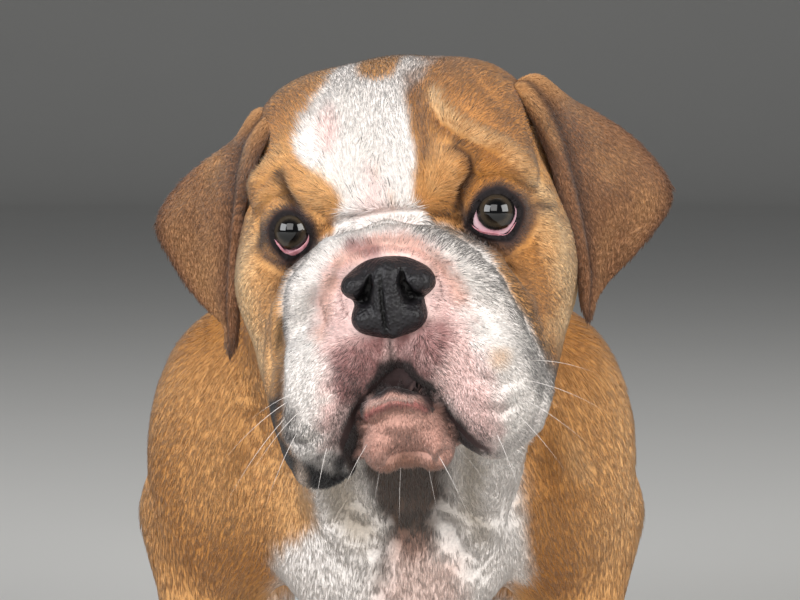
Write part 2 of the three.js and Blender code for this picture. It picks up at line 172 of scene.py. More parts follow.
class Form:
    """A rounded form given as a field that is negative inside it, built up in steps.

    Each step softly adds a mass or presses in a furrow. Distances are in millimetres and are read only
    near the surface, so a step is worked out only near its own mass.
    """

    MARGIN = 14.0

    def __init__(self) -> None:
        """Starts an empty form."""
        self.steps: list[tuple[Callable[[Points], Array], Array, Array, float, bool]] = []

    def _add(self, distance: Callable, low: Array, high: Array, blend: float, furrow: bool) -> "Form":
        """Keeps one step with the box outside which it has no say.

        Args:
            distance: Reads the step's own signed distance.
            low: The lowest corner of its mass.
            high: Its highest corner.
            blend: How softly it joins what is there.
            furrow: Whether it is pressed in.

        Returns:
            The form.
        """
        reach = self.MARGIN + blend
        self.steps.append((distance, low - reach, high + reach, blend, furrow))
        return self

    def ball(self, centre: Station, radii: Station, blend: float = 10.0, turn: Station = (0, 0, 0)) -> "Form":
        """Adds an ellipsoid.

        Args:
            centre: Its middle.
            radii: Its three radii.
            blend: How softly it joins what is there.
            turn: Its rotation in degrees about X, Y and Z.

        Returns:
            The form.
        """
        c, r, turned = np.array(centre, float), np.array(radii, float), rotation(turn)

        def distance(p: Points) -> Array:
            """Signed distance to the ellipsoid, nearly."""
            q = (p - c) @ turned
            k0 = np.linalg.norm(q / r, axis=1)
            k1 = np.maximum(np.linalg.norm(q / r**2, axis=1), 1e-9)
            return k0 * (k0 - 1.0) / k1

        return self._add(distance, c - r.max(), c + r.max(), blend, False)

    def pair(self, centre: Station, radii: Station, blend: float = 10.0, turn_y: float = 0.0) -> "Form":
        """Adds an ellipsoid and its mirror image.

        Args:
            centre: The middle of the left one.
            radii: Its three radii.
            blend: How softly each joins what is there.
            turn_y: The left one's rotation about Y in degrees.

        Returns:
            The form.
        """
        for _, side in SIDES:
            self.ball((side * centre[0], *centre[1:]), radii, blend, (0, side * turn_y, 0))
        return self

    def string(self, stations: Sequence[Station], blend: float = 8.0, furrow: bool = False) -> "Form":
        """Adds a tapering string of rounded links.

        Args:
            stations: Rows of x, y, z and radius.
            blend: How softly it joins what is there.
            furrow: Whether it is pressed in instead.

        Returns:
            The form.
        """
        rows = np.array(stations, float)

        def distance(p: Points) -> Array:
            """Signed distance to the nearest link."""
            nearest = np.full(len(p), np.inf)
            for a, b in zip(rows[:-1], rows[1:]):
                along = b[:3] - a[:3]
                t = np.clip((p - a[:3]) @ along / (along @ along), 0.0, 1.0)
                gap = np.linalg.norm(p - a[:3] - t[:, None] * along, axis=1) - (a[3] + (b[3] - a[3]) * t)
                nearest = np.minimum(nearest, gap)
            return nearest

        widest = rows[:, 3].max()
        return self._add(distance, rows[:, :3].min(0) - widest, rows[:, :3].max(0) + widest, blend, furrow)

    def at(self, points: Points) -> Array:
        """Reads the field.

        Args:
            points: Where to read it.

        Returns:
            Distances, negative inside the form.
        """
        d = np.full(len(points), 1e3)
        for distance, _, _, blend, furrow in self.steps:
            part = distance(points)
            d = -soft_min(-d, part, blend) if furrow else soft_min(d, part, blend)
        return d

    def within(self, low: Array, high: Array) -> "Form":
        """The steps that have a say in a box.

        Args:
            low: The box's lowest corner.
            high: Its highest corner.

        Returns:
            A form of those steps alone.
        """
        near = Form()
        near.steps = [s for s in self.steps if (s[1] < high).all() and (s[2] > low).all()]
        return near


def settle_on(
    field_at: Callable[[Points], Array], points: Points, rounds: int, depth: Array | float = 0.0,
    least_slope: float = 0.15, close: float = 0.02,
) -> Points:
    """Steps points along a field's slope until they lie at a depth inside it.

    Args:
        field_at: The field.
        points: Where the points start.
        rounds: How often they are moved at most.
        depth: How deep each lies.
        least_slope: The smallest squared slope that a step is divided by.
        close: How near counts as there.

    Returns:
        The moved points.
    """
    step, longest = 0.15, 3.0
    p = points.copy()
    deep = np.broadcast_to(depth, len(p))
    moving = np.arange(len(p))
    for _ in range(rounds):
        q = p[moving]
        base = field_at(q)
        d = base + deep[moving]
        slope = np.stack([(field_at(q + axis) - base) / step for axis in np.eye(3) * step], 1)
        shift = d / np.maximum((slope**2).sum(1), least_slope)
        p[moving] = q - slope * np.clip(shift, -longest, longest)[:, None]
        moving = moving[np.abs(d) > close]
        if not len(moving):
            break
    return p


@dataclass
class BodyFrame:
    """The body's own millimetres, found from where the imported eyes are."""

    eye_midpoint: Station = (1.0, -196.0, 247.0)
    head_turn_deg: float = -6.3
    head_roll_deg: float = -5.3
    eye_spacing: float = 76.0
    eye_depth: float = 3.0

    def __post_init__(self) -> None:
        """Works out the head's matrix and the offset to the world."""
        self.turned = rotation((0, self.head_roll_deg, 0)) @ rotation((0, 0, self.head_turn_deg))
        boxes = [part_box(f"eye_{word}") for word, _ in SIDES]
        middle = sum(np.array((low + high) / 2) for low, high in boxes) / len(boxes)
        self.offset = middle / MM - self.from_head(np.array([[0.0, self.eye_depth, 0.0]]))[0]

    def eye(self, side: int) -> Array:
        """The middle of an eye, in the head's frame."""
        return np.array([side * self.eye_spacing / 2, self.eye_depth, 0.0])

    def eye_gap(self, local: Points) -> Array:
        """How far places in the head's frame lie from the nearer eye's middle."""
        return np.minimum(*(np.linalg.norm(local - self.eye(side), axis=1) for _, side in SIDES))

    def from_head(self, points: Points) -> Points:
        """The head's millimetres to the body's."""
        return np.asarray(points, float) @ self.turned.T + np.array(self.eye_midpoint)

    def to_head(self, points: Points) -> Points:
        """The body's millimetres to the head's."""
        return (np.asarray(points, float) - np.array(self.eye_midpoint)) @ self.turned

    def to_world(self, points: Points) -> Points:
        """The body's millimetres to metres in the world."""
        return (np.asarray(points, float) + self.offset) * MM

    def from_world(self, points: Points) -> Points:
        """Metres in the world to the body's millimetres."""
        return np.asarray(points, float) / MM - self.offset

    def head_to_world(self, points: Points) -> Points:
        """The head's millimetres to metres in the world."""
        return self.to_world(self.from_head(points))

    def world_to_head(self, points: Points) -> Points:
        """Metres in the world to the head's millimetres."""
        return self.to_head(self.from_world(points))


@dataclass(frozen=True)
class EyeShape:
    """The opening between the lids of an eye, seen from the front.

    The corners are x, outwards from the nose, and z from the eye's middle.
    """

    left: Line = (
        (-8.6, -3.3), (-7.1, 0.8), (-4.6, 4.5), (-1.8, 6.8), (1.5, 7.6), (4.8, 6.5), (7.4, 3.7), (8.8, -0.2),
        (7.2, -4.7), (4.2, -8.8), (-0.2, -8.1), (-5.5, -6.4),
    )
    right: Line = (
        (-6.4, -3.2), (-5.6, 1.4), (-3.3, 4.6), (-0.4, 6.0), (2.8, 5.2), (5.2, 2.2), (5.8, -1.1), (4.9, -4.4),
        (2.3, -8.6), (-1.2, -8.2), (-4.2, -6.6),
    )
    wider: float = 1.1

    def outline(self, side: int, count: int) -> Array:
        """The opening as a smooth closed line.

        Args:
            side: 1 for the left eye, -1 for the right.
            count: How many points it has.

        Returns:
            Rows of x and z from the eye's middle.
        """
        knots = np.array([(side * x, z) for x, z in (self.left if side > 0 else self.right)])
        knots *= 1 + self.wider / np.linalg.norm(knots, axis=1, keepdims=True)
        t = np.linspace(0, len(knots), count, endpoint=False)
        i = t.astype(int)
        w = (t - i)[:, None]
        a, b, c, d = (knots[(i + k) % len(knots)] for k in (-1, 0, 1, 2))
        return 0.5 * (2 * b + (c - a) * w + (2 * a - 5 * b + 4 * c - d) * w**2 + (3 * b - a - 3 * c + d)
                      * w**3)


@dataclass
class PuppyForm:
    """The whole puppy's outer form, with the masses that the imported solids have."""

    body: BodyFrame
    head_half_width: float = 66.5
    crown_z: float = 63.0
    eye_radius: float = 10.0
    lid_thickness: float = 2.3
    flew_bottom_z: float = -92.0
    shoulder_half_width: float = 107.0
    withers_z: float = 240.0
    rump_y: float = 170.0
    brisket_z: float = 70.0
    forepaw: tuple[float, float, float] = (74.0, -52.0, 26.0)
    hindpaw: tuple[float, float, float] = (62.0, 128.0, 23.0)
    toes: tuple[float, ...] = (-1.5, -0.5, 0.5, 1.5)
    nose_roll: tuple[Station, ...] = (
        (0, -23, -8, 9), (19, -22, -11, 9), (32, -16, -20, 9.5),
        (41, -9, -36, 9.5), (44, -4, -56, 9), (43, 0, -72, 8),
    )
    right_lip: tuple[Station, ...] = (
        (-2.6, -42, -52.6, 1.0), (-7.4, -41.5, -56.2, 1.2), (-12.4, -40.5, -60.4, 1.4),
        (-17.4, -38.5, -66.5, 1.7), (-21, -36, -73, 1.9), (-24.5, -32, -81, 2.2),
    )
    left_lip: tuple[Station, ...] = (
        (-2.6, -42, -52.6, 1.0), (5.6, -41.5, -58.4, 1.2), (11.6, -40.5, -64.0, 1.4),
        (17.6, -38.5, -70.6, 1.7), (22, -36, -76.6, 1.9), (29, -31, -84, 2.2),
    )

    def lip_gap(self, local: Points) -> Array:
        """How far places in the head's frame lie from the line of the mouth, seen from the front."""
        flat = local[:, [0, 2]]
        lips = (self.right_lip, self.left_lip)
        return np.minimum(*(line_gap(flat, np.array(line)[:, [0, 2]])[0] for line in lips))

    def __post_init__(self) -> None:
        """Builds the head's and the trunk's fields."""
        self.head = self._head()
        self.trunk = self._trunk()

    def _head(self) -> Form:
        """The skull, cheeks, brows, muzzle, chin and lids.

        Returns:
            Their form in the head's frame.
        """
        form = Form()
        cranium, cheek = 51.0, 27.0
        form.ball((0, 46, self.crown_z - cranium), (58, 52, cranium))
        form.ball((0, 66, -14), (55, 40, 48), 14)
        form.ball((0, 18, -40), (44, 44, 30), 12)
        form.pair((29, 32, 34), (24, 38, 23), 12)
        form.pair((self.head_half_width - cheek, 33, -20), (cheek, 35, 38), 14)
        form.pair((35, 14, -50), (22, 30, 30), 12)
        form.pair((33, 6, 19), (21, 14, 11), 14, 14)
        form.pair((43, 12, -22), (17, 17, 16), 12)
        form.ball((0, -4, -30), (38, 28, 26), 8)
        form.pair((17, -22, -48), (17, 19, 15), 6)
        form.pair((30, -16, -60), (17, 24, 24), 7)
        form.ball((32, -10, self.flew_bottom_z + 4 + 25), (18.5, 22, 25), 7)
        form.ball((-32, -10, self.flew_bottom_z - 2 + 28), (18, 22, 28), 7)
        form.string([(50, -2, -66, 4), (45, -8, -77, 5), (34, -16, -82, 5), (25, -22, -79, 4)], 5)
        form.string([(-46, -2, -68, 4), (-42, -9, -82, 5), (-32, -16, -90, 5), (-24, -20, -87, 4)], 5)
        for _, side in SIDES:
            form.string(mirrored(side, self.nose_roll), 4)
        form.string([(-1.4, -42, -40, 1.0), (-2.4, -43, -52, 1.3)], 2.5, furrow=True)
        lid = self.eye_radius + self.lid_thickness
        form.pair(self.body.eye(1), (lid, lid, lid), 4)
        form.ball((0, 18, -68), (32, 46, 21), 4)
        form.ball((1, -6, -72), (25, 20, 16.5), 3)
        form.ball((1.2, -20, -74.5), (16.8, 16.5, 15), 2)
        form.ball((-8, -26.5, -81), (7.8, 11, 8.5), 3)
        form.ball((10.5, -26.5, -81.5), (7.8, 11, 8.5), 3)
        form.string([(-10, -32, -66, 4.5), (-1.5, -35, -62.0, 5), (8, -32.5, -65.5, 4.5)], 4)
        form.string([(1.2, -41, -79, 1.0), (0.6, -38, -86, 3.0), (0.2, -33, -93, 4.5)], 3, furrow=True)
        form.string(self.right_lip, 1.5, furrow=True)
        form.string(self.left_lip, 1.5, furrow=True)
        return form

    def _head_point(self, point: Station, radius: float) -> list[float]:
        """A station of the trunk that lies in the head."""
        return [*self.body.from_head(np.array([point], float))[0], radius]

    def _trunk(self) -> Form:
        """Chest, back, neck, shoulders, thighs, legs, paws and tail.

        Returns:
            Their form in the body's frame.
        """
        form = Form()
        form.ball((0, -8, 160), (80, 86, 74))
        form.ball((0, -52, self.brisket_z + 60), (62, 56, 60), 20)
        form.ball((0, -30, self.withers_z - 37), (60, 54, 37), 24)
        form.ball((0, 78, 182), (64, 74, 54), 24)
        form.ball((0, self.rump_y - 48, 184), (66, 48, 50), 18)
        form.ball((2, -84, self.brisket_z + 40), (50, 36, 42), 20)
        form.string([self._head_point((0, 56, 4), 56), (0, -74, 196, 64)], 24)
        form.string([self._head_point((0, 36, -58), 28), (4, -100, 140, 36)], 16)
        for s in (1, -1):
            arm = 38.0
            form.ball((s * (self.shoulder_half_width - arm), -42, 138), (arm, 46, 68), 18, (12, 0, 0))
            form.ball((s * 84, -14, 108), (22, 26, 28), 20)
            form.ball((s * 55, 114, 158), (35, 48, 60), 18, (-10, 0, 0))
            form.ball((s * 62, 90, 124), (25, 28, 32), 24)
        form.string([self._head_point((-34, 20, -72), 13), (-20, -116, 136, 16), (-14, -94, 104, 16)], 10)
        form.string([self._head_point((34, 20, -72), 13), (36, -116, 138, 16), (24, -94, 104, 16)], 10)
        for s in (1, -1):
            x, y, _ = self.forepaw
            form.string([(s * 81, -28, 112, 30), (s * 79, -32, 62, 22), (s * x, y + 14, 22, 20)], 10)
            form.string([(s * 66, 98, 118, 26), (s * 64, 146, 70, 14)], 8)
            x, y, _ = self.hindpaw
            form.string([(s * 64, 146, 72, 13), (s * x, y + 12, 20, 15)], 8)
            self._paw(form, s, self.forepaw)
            self._paw(form, s, self.hindpaw)
        form.string([(0, 148, 206, 15), (0, 172, 194, 11), (3, 182, 178, 7)], 6)
        return form

    def _paw(self, form: Form, side: int, foot: tuple[float, float, float]) -> None:
        """Adds a paw's pad and its four toes.

        Args:
            form: The form that it joins.
            side: 1 for the left, -1 for the right.
            foot: The paw's x and y on the left, and half its width.
        """
        x, y, half = side * foot[0], foot[1], foot[2]
        form.ball((x, y + 4, 14), (half * 0.92, half * 1.05, 18), 8)
        radius = half * 0.35
        for toe in self.toes:
            tip_x, tip_y = x + toe * half * 0.5, y - half * (1.3 - abs(toe) * 0.22)
            knuckle = (x + toe * half * 0.34, y, 15, radius)
            form.string([knuckle, (tip_x, tip_y + radius, 10, radius)], 3)

    def near(self, points: Points) -> Callable[[Points], Array]:
        """The whole puppy's field near some places.

        Args:
            points: Places in the body's frame, close together.

        Returns:
            A function that reads the field at places near them.
        """
        reach, blend = 5.0, 5.0
        trunk = self.trunk.within(points.min(0) - reach, points.max(0) + reach)
        local = self.body.to_head(points)
        head = self.head.within(local.min(0) - reach, local.max(0) + reach)

        def at(p: Points) -> Array:
            """Signed distance, negative inside."""
            d = trunk.at(p)
            q = self.body.to_head(p)
            if head.steps:
                d = soft_min(d, head.at(q), blend)
            return d

        return at


def blocks(points: Points, size: float) -> list[Array]:
    """Groups points by the cube of space that they are in.

    Args:
        points: The points.
        size: The cubes' side.

    Returns:
        The indices of each group.
    """
    cell = np.floor(points / size).astype(np.int64) + 512
    key = (cell[:, 0] * 1024 + cell[:, 1]) * 1024 + cell[:, 2]
    order = np.argsort(key, kind="stable")
    return np.split(order, np.flatnonzero(np.diff(key[order])) + 1)


def new_object(name: str, mesh: Mesh) -> Piece:
    """Links a mesh to the scene as an object at the origin.

    Args:
        name: The piece's name.
        mesh: Its mesh.

    Returns:
        The object.
    """
    piece = bpy.data.objects.new(name, mesh)
    bpy.context.scene.collection.objects.link(piece)
    return piece


def choose(piece: Piece) -> None:
    """Makes a piece the only one selected, so that edit mode touches nothing else.

    Args:
        piece: The piece.
    """
    bpy.ops.object.select_all(action="DESELECT")
    piece.select_set(True)
    bpy.context.view_layer.objects.active = piece


def mesh_from_arrays(name: str, points: Points, faces: Array) -> Mesh:
    """A mesh from plain arrays of like faces.

    Args:
        name: The mesh's name.
        points: World places in metres.
        faces: Rows of three or four indices.

    Returns:
        The mesh.
    """
    mesh = bpy.data.meshes.new(name)
    count, sides = faces.shape
    mesh.vertices.add(len(points))
    mesh.vertices.foreach_set("co", np.asarray(points, np.float32).ravel())
    mesh.loops.add(count * sides)
    mesh.loops.foreach_set("vertex_index", faces.astype(np.int32).ravel())
    mesh.polygons.add(count)
    mesh.polygons.foreach_set("loop_start", np.arange(0, count * sides, sides, dtype=np.int32))
    mesh.update(calc_edges=True)
    return mesh


def read(items: Sequence, name: str, size: int, kind: type = np.float32) -> Array:
    """One property of a mesh's vertices, edges, triangles or loops.

    Args:
        items: The mesh's items.
        name: The property.
        size: How many numbers it has.
        kind: What they are.

    Returns:
        One row for each item.
    """
    flat = np.empty(len(items) * size, kind)
    items.foreach_get(name, flat)
    return flat.reshape(-1, size)


def coordinates(mesh: Mesh) -> Points:
    """A mesh's vertices as an array."""
    return read(mesh.vertices, "co", 3).astype(float)


def vertex_normals(mesh: Mesh) -> Array:
    """A mesh's vertex normals as an array."""
    return read(mesh.vertex_normals, "vector", 3).astype(float)


def edge_pairs(mesh: Mesh) -> Array:
    """The two vertices of each of a mesh's edges."""
    return read(mesh.edges, "vertices", 2, np.int32)


def corner_vertices(mesh: Mesh) -> Array:
    """The vertex of each of a mesh's face corners."""
    return read(mesh.loops, "vertex_index", 1, np.int32)[:, 0]


@contextmanager
def shaping(mesh: Mesh) -> Iterator[bmesh.types.BMesh]:
    """Opens a mesh for bmesh operators and writes the result back to it.

    Args:
        mesh: The mesh.

    Yields:
        Its bmesh.
    """
    shape = bmesh.new()
    shape.from_mesh(mesh)
    yield shape
    shape.to_mesh(mesh)
    shape.free()


def turn_outwards(mesh: Mesh) -> None:
    """Makes the faces of a closed mesh point outwards."""
    with shaping(mesh) as shape:
        bmesh.ops.recalc_face_normals(shape, faces=shape.faces)


def set_coordinates(mesh: Mesh, points: Points) -> None:
    """Moves a mesh's vertices."""
    mesh.vertices.foreach_set("co", np.asarray(points, np.float32).ravel())
    mesh.update()


def paint(mesh: Mesh, name: str, colours: Array) -> None:
    """Stores a linear colour for each vertex.

    Args:
        mesh: The mesh.
        name: The attribute's name.
        colours: One row of red, green and blue for each vertex.
    """
    rgba = np.ones((len(colours), 4), np.float32)
    rgba[:, :3] = colours
    attribute = mesh.color_attributes.new(name, "FLOAT_COLOR", "POINT")
    attribute.data.foreach_set("color", rgba.ravel())


def smooth(mesh: Mesh) -> None:
    """Shades all of a mesh's faces smoothly."""
    mesh.polygons.foreach_set("use_smooth", np.ones(len(mesh.polygons), bool))
    mesh.update()


def linear(colour: Station) -> Array:
    """A colour of 0 to 255 as shown on a screen, made linear."""
    c = np.array(colour, float) / 255.0
    return np.where(c <= 0.04045, c / 12.92, ((c + 0.055) / 1.055) ** 2.4)


TAN = (199, 147, 90)
TAN_LIGHT = (232, 196, 148)
TAN_DEEP = (178, 124, 72)
TAN_DARK = (128, 86, 52)
BROWN = (140, 98, 68)
EAR_GOLD = (184, 138, 94)
EAR_DARK = (74, 50, 40)
EAR_INSIDE = (166, 118, 98)
# Dark brown of the throat's hair, also used as painted shade round the chin, under the head and in the
# chest's creases
THROAT_BROWN_AND_SHADE = (62, 42, 28)
# Painted shade for the white folds of the chest
SHADE = (160, 144, 122)
EYE_SKIN = (74, 52, 48)
LIP_RED = (148, 88, 84)
WHITE = (236, 229, 224)
PINK = (226, 176, 170)
PINK_WARM = (214, 162, 142)
MAUVE = (134, 82, 80)
GREY = (112, 104, 104)
CHIN = (192, 148, 134)
CHIN_RIM = (206, 184, 176)
DARK = (44, 32, 32)
BLACK = (24, 20, 22)


@dataclass
class Ear:
    """A folded leaf that hangs from the side of the skull: a rolled front edge, a crease and a broad flap.

    Each row runs from the front edge by the crease and the flap's middle to the rear edge, and the rows
    from the root, inside the skull, to the tip.
    """

    side: int
    thickness: float = 3.2
    roll: float = 2.0
    groove: float = 1.5
    rings: int = 48
    segments: int = 96
    left_rows: tuple[tuple[Station, ...], ...] = (
        ((38, 28, 42), (41, 36, 44), (43, 46, 44), (44, 56, 43)),
        ((47, 20, 43), (52, 24, 46.5), (55.2, 34, 48.6), (54, 46, 47)),
        ((52.4, 21, 34.2), (59.2, 20, 39), (63.4, 32, 42), (63, 46, 40)),
        ((56.0, 25, 24.7), (63.6, 26, 26.1), (71, 38, 31.4), (77.5, 50, 32.6)),
        ((58.6, 26, 15.6), (65.4, 32, 14.8), (79.5, 45, 18), (94, 54, 18)),
        ((61.2, 26, 1.4), (67.5, 34, 0.8), (84.7, 48, 0.7), (103.4, 57, -1)),
        ((64.6, 27, -14), (68.9, 32, -14.5), (79.5, 42, -16.8), (92.3, 50, -17.6)),
        ((65.2, 26, -28.3), (69.7, 30, -28.2), (72.4, 35, -30.3), (76.3, 40, -31.4)),
        ((65.3, 25, -36.6), (68.6, 27, -37.1), (70, 29, -37.4), (71.1, 31, -37.2)),
        ((66.3, 24, -42.7), (67.7, 25, -44.1), (68.8, 27, -43.6), (70.1, 28, -41.1)),
    )
    right_rows: tuple[tuple[Station, ...], ...] = (
        ((32, 24, 40), (36, 32, 41), (39, 42, 41), (41, 54, 40)),
        ((38.6, 8, 41.0), (45, 18, 44.5), (50.5, 29, 45.5), (51, 42, 43)),
        ((44.4, -1.5, 33.5), (52.5, 12, 36), (59.4, 27, 36), (61, 42, 32)),
        ((49.6, 0, 23.9), (59.5, 22, 24.8), (69, 40, 29.1), (82.6, 51, 25.3)),
        ((60, 27, 7.8), (64.5, 32, 8.4), (80, 46, 9.5), (101.1, 57, 6.1)),
        ((64, 27, -11.2), (67.8, 31, -11.1), (80.2, 42, -12.3), (93.8, 50, -12.5)),
        ((65.3, 26, -26.5), (70.2, 29, -26.7), (75.2, 35, -27.1), (82.5, 40, -27.3)),
        ((66, 25, -35.2), (70.5, 28, -35.5), (71.6, 30, -35.2), (73.1, 32, -35.3)),
        ((68, 24, -45), (70.4, 26, -46), (71.8, 28, -45.5), (73.1, 29, -42.4)),
    )

    lie: Array = field(init=False)
    colours: Array = field(init=False)

    @staticmethod
    def _curve(knots: Sequence[Array], t: Array) -> Points:
        """Points on a smooth curve through knots.

        Args:
            knots: The knots, each one point or one for each t.
            t: How far along the curve, from 0 to 1.

        Returns:
            One point for each t.
        """
        ends = [2 * knots[0] - knots[1], *knots, 2 * knots[-1] - knots[-2]]
        stack = np.stack([np.broadcast_to(k, (len(t), 3)) for k in ends])
        place = np.clip(t, 0, 1) * (len(knots) - 1)
        index = np.minimum(place.astype(int), len(knots) - 2)
        weight = (place - index)[:, None]
        row = np.arange(len(t))
        a, b, c, d = (stack[index + k, row] for k in range(4))
        spans = ((a, b), (b, c), (c, d))
        d0, d1, d2 = (np.maximum(((q - p) ** 2).sum(1), 1e-8)[:, None] ** 0.25 for p, q in spans)
        m1 = ((b - a) / d0 - (c - a) / (d0 + d1) + (c - b) / d1) * d1
        m2 = ((c - b) / d1 - (d - b) / (d1 + d2) + (d - c) / d2) * d1
        w2, w3 = weight**2, weight**3
        return b + m1 * weight + (3 * (c - b) - 2 * m1 - m2) * w2 + (2 * (b - c) + m1 + m2) * w3

    def leaf(self, a: Array, b: Array) -> Points:
        """Places on the leaf's middle sheet.

        Args:
            a: From 0 at the root to 1 at the tip.
            b: From 0 at the front edge to 1 at the rear edge.

        Returns:
            Places in the head's frame.
        """
        chosen = self.left_rows if self.side > 0 else self.right_rows
        rows = [[np.array([self.side * k[0], *k[1:]], float) for k in row] for row in chosen]
        columns = [self._curve([row[j] for row in rows], a) for j in range(len(rows[0]))]
        return self._curve(columns, b)

    def build(self, body: BodyFrame) -> Mesh:
        """Makes the leaf from a sphere whose poles become its two faces.

        Args:
            body: The body's frame.

        Returns:
            The closed mesh in the world's metres; its colours and lie are kept on this object.
        """
        mesh = bpy.data.meshes.new("ear")
        with shaping(mesh) as shape:
            bmesh.ops.create_uvsphere(shape, u_segments=self.segments, v_segments=self.rings, radius=1.0)
        x, z, y = coordinates(mesh).T
        edge = np.maximum(np.hypot(x, z), 1e-9)
        square = edge / np.maximum(np.maximum(np.abs(x), np.abs(z)), 1e-9)
        out = np.arcsin(np.clip(edge, 0, 1)) / (math.pi / 2) / edge * (1 + (square - 1) * 0.75 * edge)
        a, b = np.clip(0.5 + x * out / 2, 0, 1), np.clip(0.5 + z * out / 2, 0, 1)
        step = 0.01
        along = self.leaf(np.minimum(a + step, 1), b) - self.leaf(np.maximum(a - step, 0), b)
        across = self.leaf(a, np.minimum(b + step, 1)) - self.leaf(a, np.maximum(b - step, 0))
        front = unit(np.cross(along, across)) * self.side
        outer = y < 0
        half = self.thickness / 2 * (1 - 0.25 * a) * np.sqrt(np.abs(y))
        half += self.roll * np.exp(-(((b - 0.13) / 0.12) ** 2)) * np.sqrt(np.abs(y))
        half -= self.groove * np.exp(-(((b - 0.34) / 0.06) ** 2)) * outer * np.abs(y)
        points = self.leaf(a, b) + front * np.where(outer, half, -half)[:, None]
        set_coordinates(mesh, body.head_to_world(points))
        turn_outwards(mesh)
        self.lie = unit(along + 0.5 * (b - 0.4)[:, None] * across) @ body.turned.T
        self.colours = self._colour(points, a, b, smoothstep(0.25, 0.6, y))
        return mesh

    def _colour(self, points: Points, a: Array, b: Array, inner: Array) -> Array:
        """The ear's colours: brown velvet, tan where it leaves the skull, painted shade in the crease behind
        the rolled edge, bare and pinkish inside.

        Args:
            points: Places in the head's frame.
            a: From 0 at the root to 1 at the tip.
            b: From 0 at the front edge to 1 at the rear edge.
            inner: 1 on the leaf's inner face, 0 on its outer one.

        Returns:
            Linear colours.
        """
        swell = noise(points, 14.0, 21) + 0.5 * noise(points, 5.0, 22) - 0.75
        colours = np.tile(linear(BROWN), (len(points), 1))
        tones = (
            (TAN, smoothstep(0.30, 0.10, a) * 0.6),
            (EAR_GOLD, np.exp(-(((b - 0.2) / 0.1) ** 2)) * smoothstep(0.1, 0.2, a)
             * smoothstep(0.42, 0.3, a) * 0.8),
            (EAR_GOLD, np.clip(0.55 + swell, 0, 1) * smoothstep(0.36, 0.6, b) * smoothstep(1.0, 0.8, b)
             * 0.8),
            # Painted shade in the crease between the rolled edge and the flap
            (EAR_DARK, np.exp(-(((b - 0.33) / 0.07) ** 2)) * 0.8),
            (EAR_DARK, smoothstep(0.10, 0.0, b) * 0.7),
            (EAR_DARK, np.maximum(smoothstep(0.93, 1.0, b), smoothstep(0.88, 1.0, a)) * 0.6),
            (EAR_INSIDE, inner * 0.8),
        )
        for tone, weight in tones:
            colours += (linear(tone) - colours) * weight[:, None]
        return colours


@dataclass(frozen=True)
class Fold:
    """A fold of the face's skin, seen from the front.

    The line's points are x and z in the head's frame. A height above 0 is a ridge, below 0 a crease.
    """

    line: Line
    width: float
    height: float
    sharp: float = 2.0


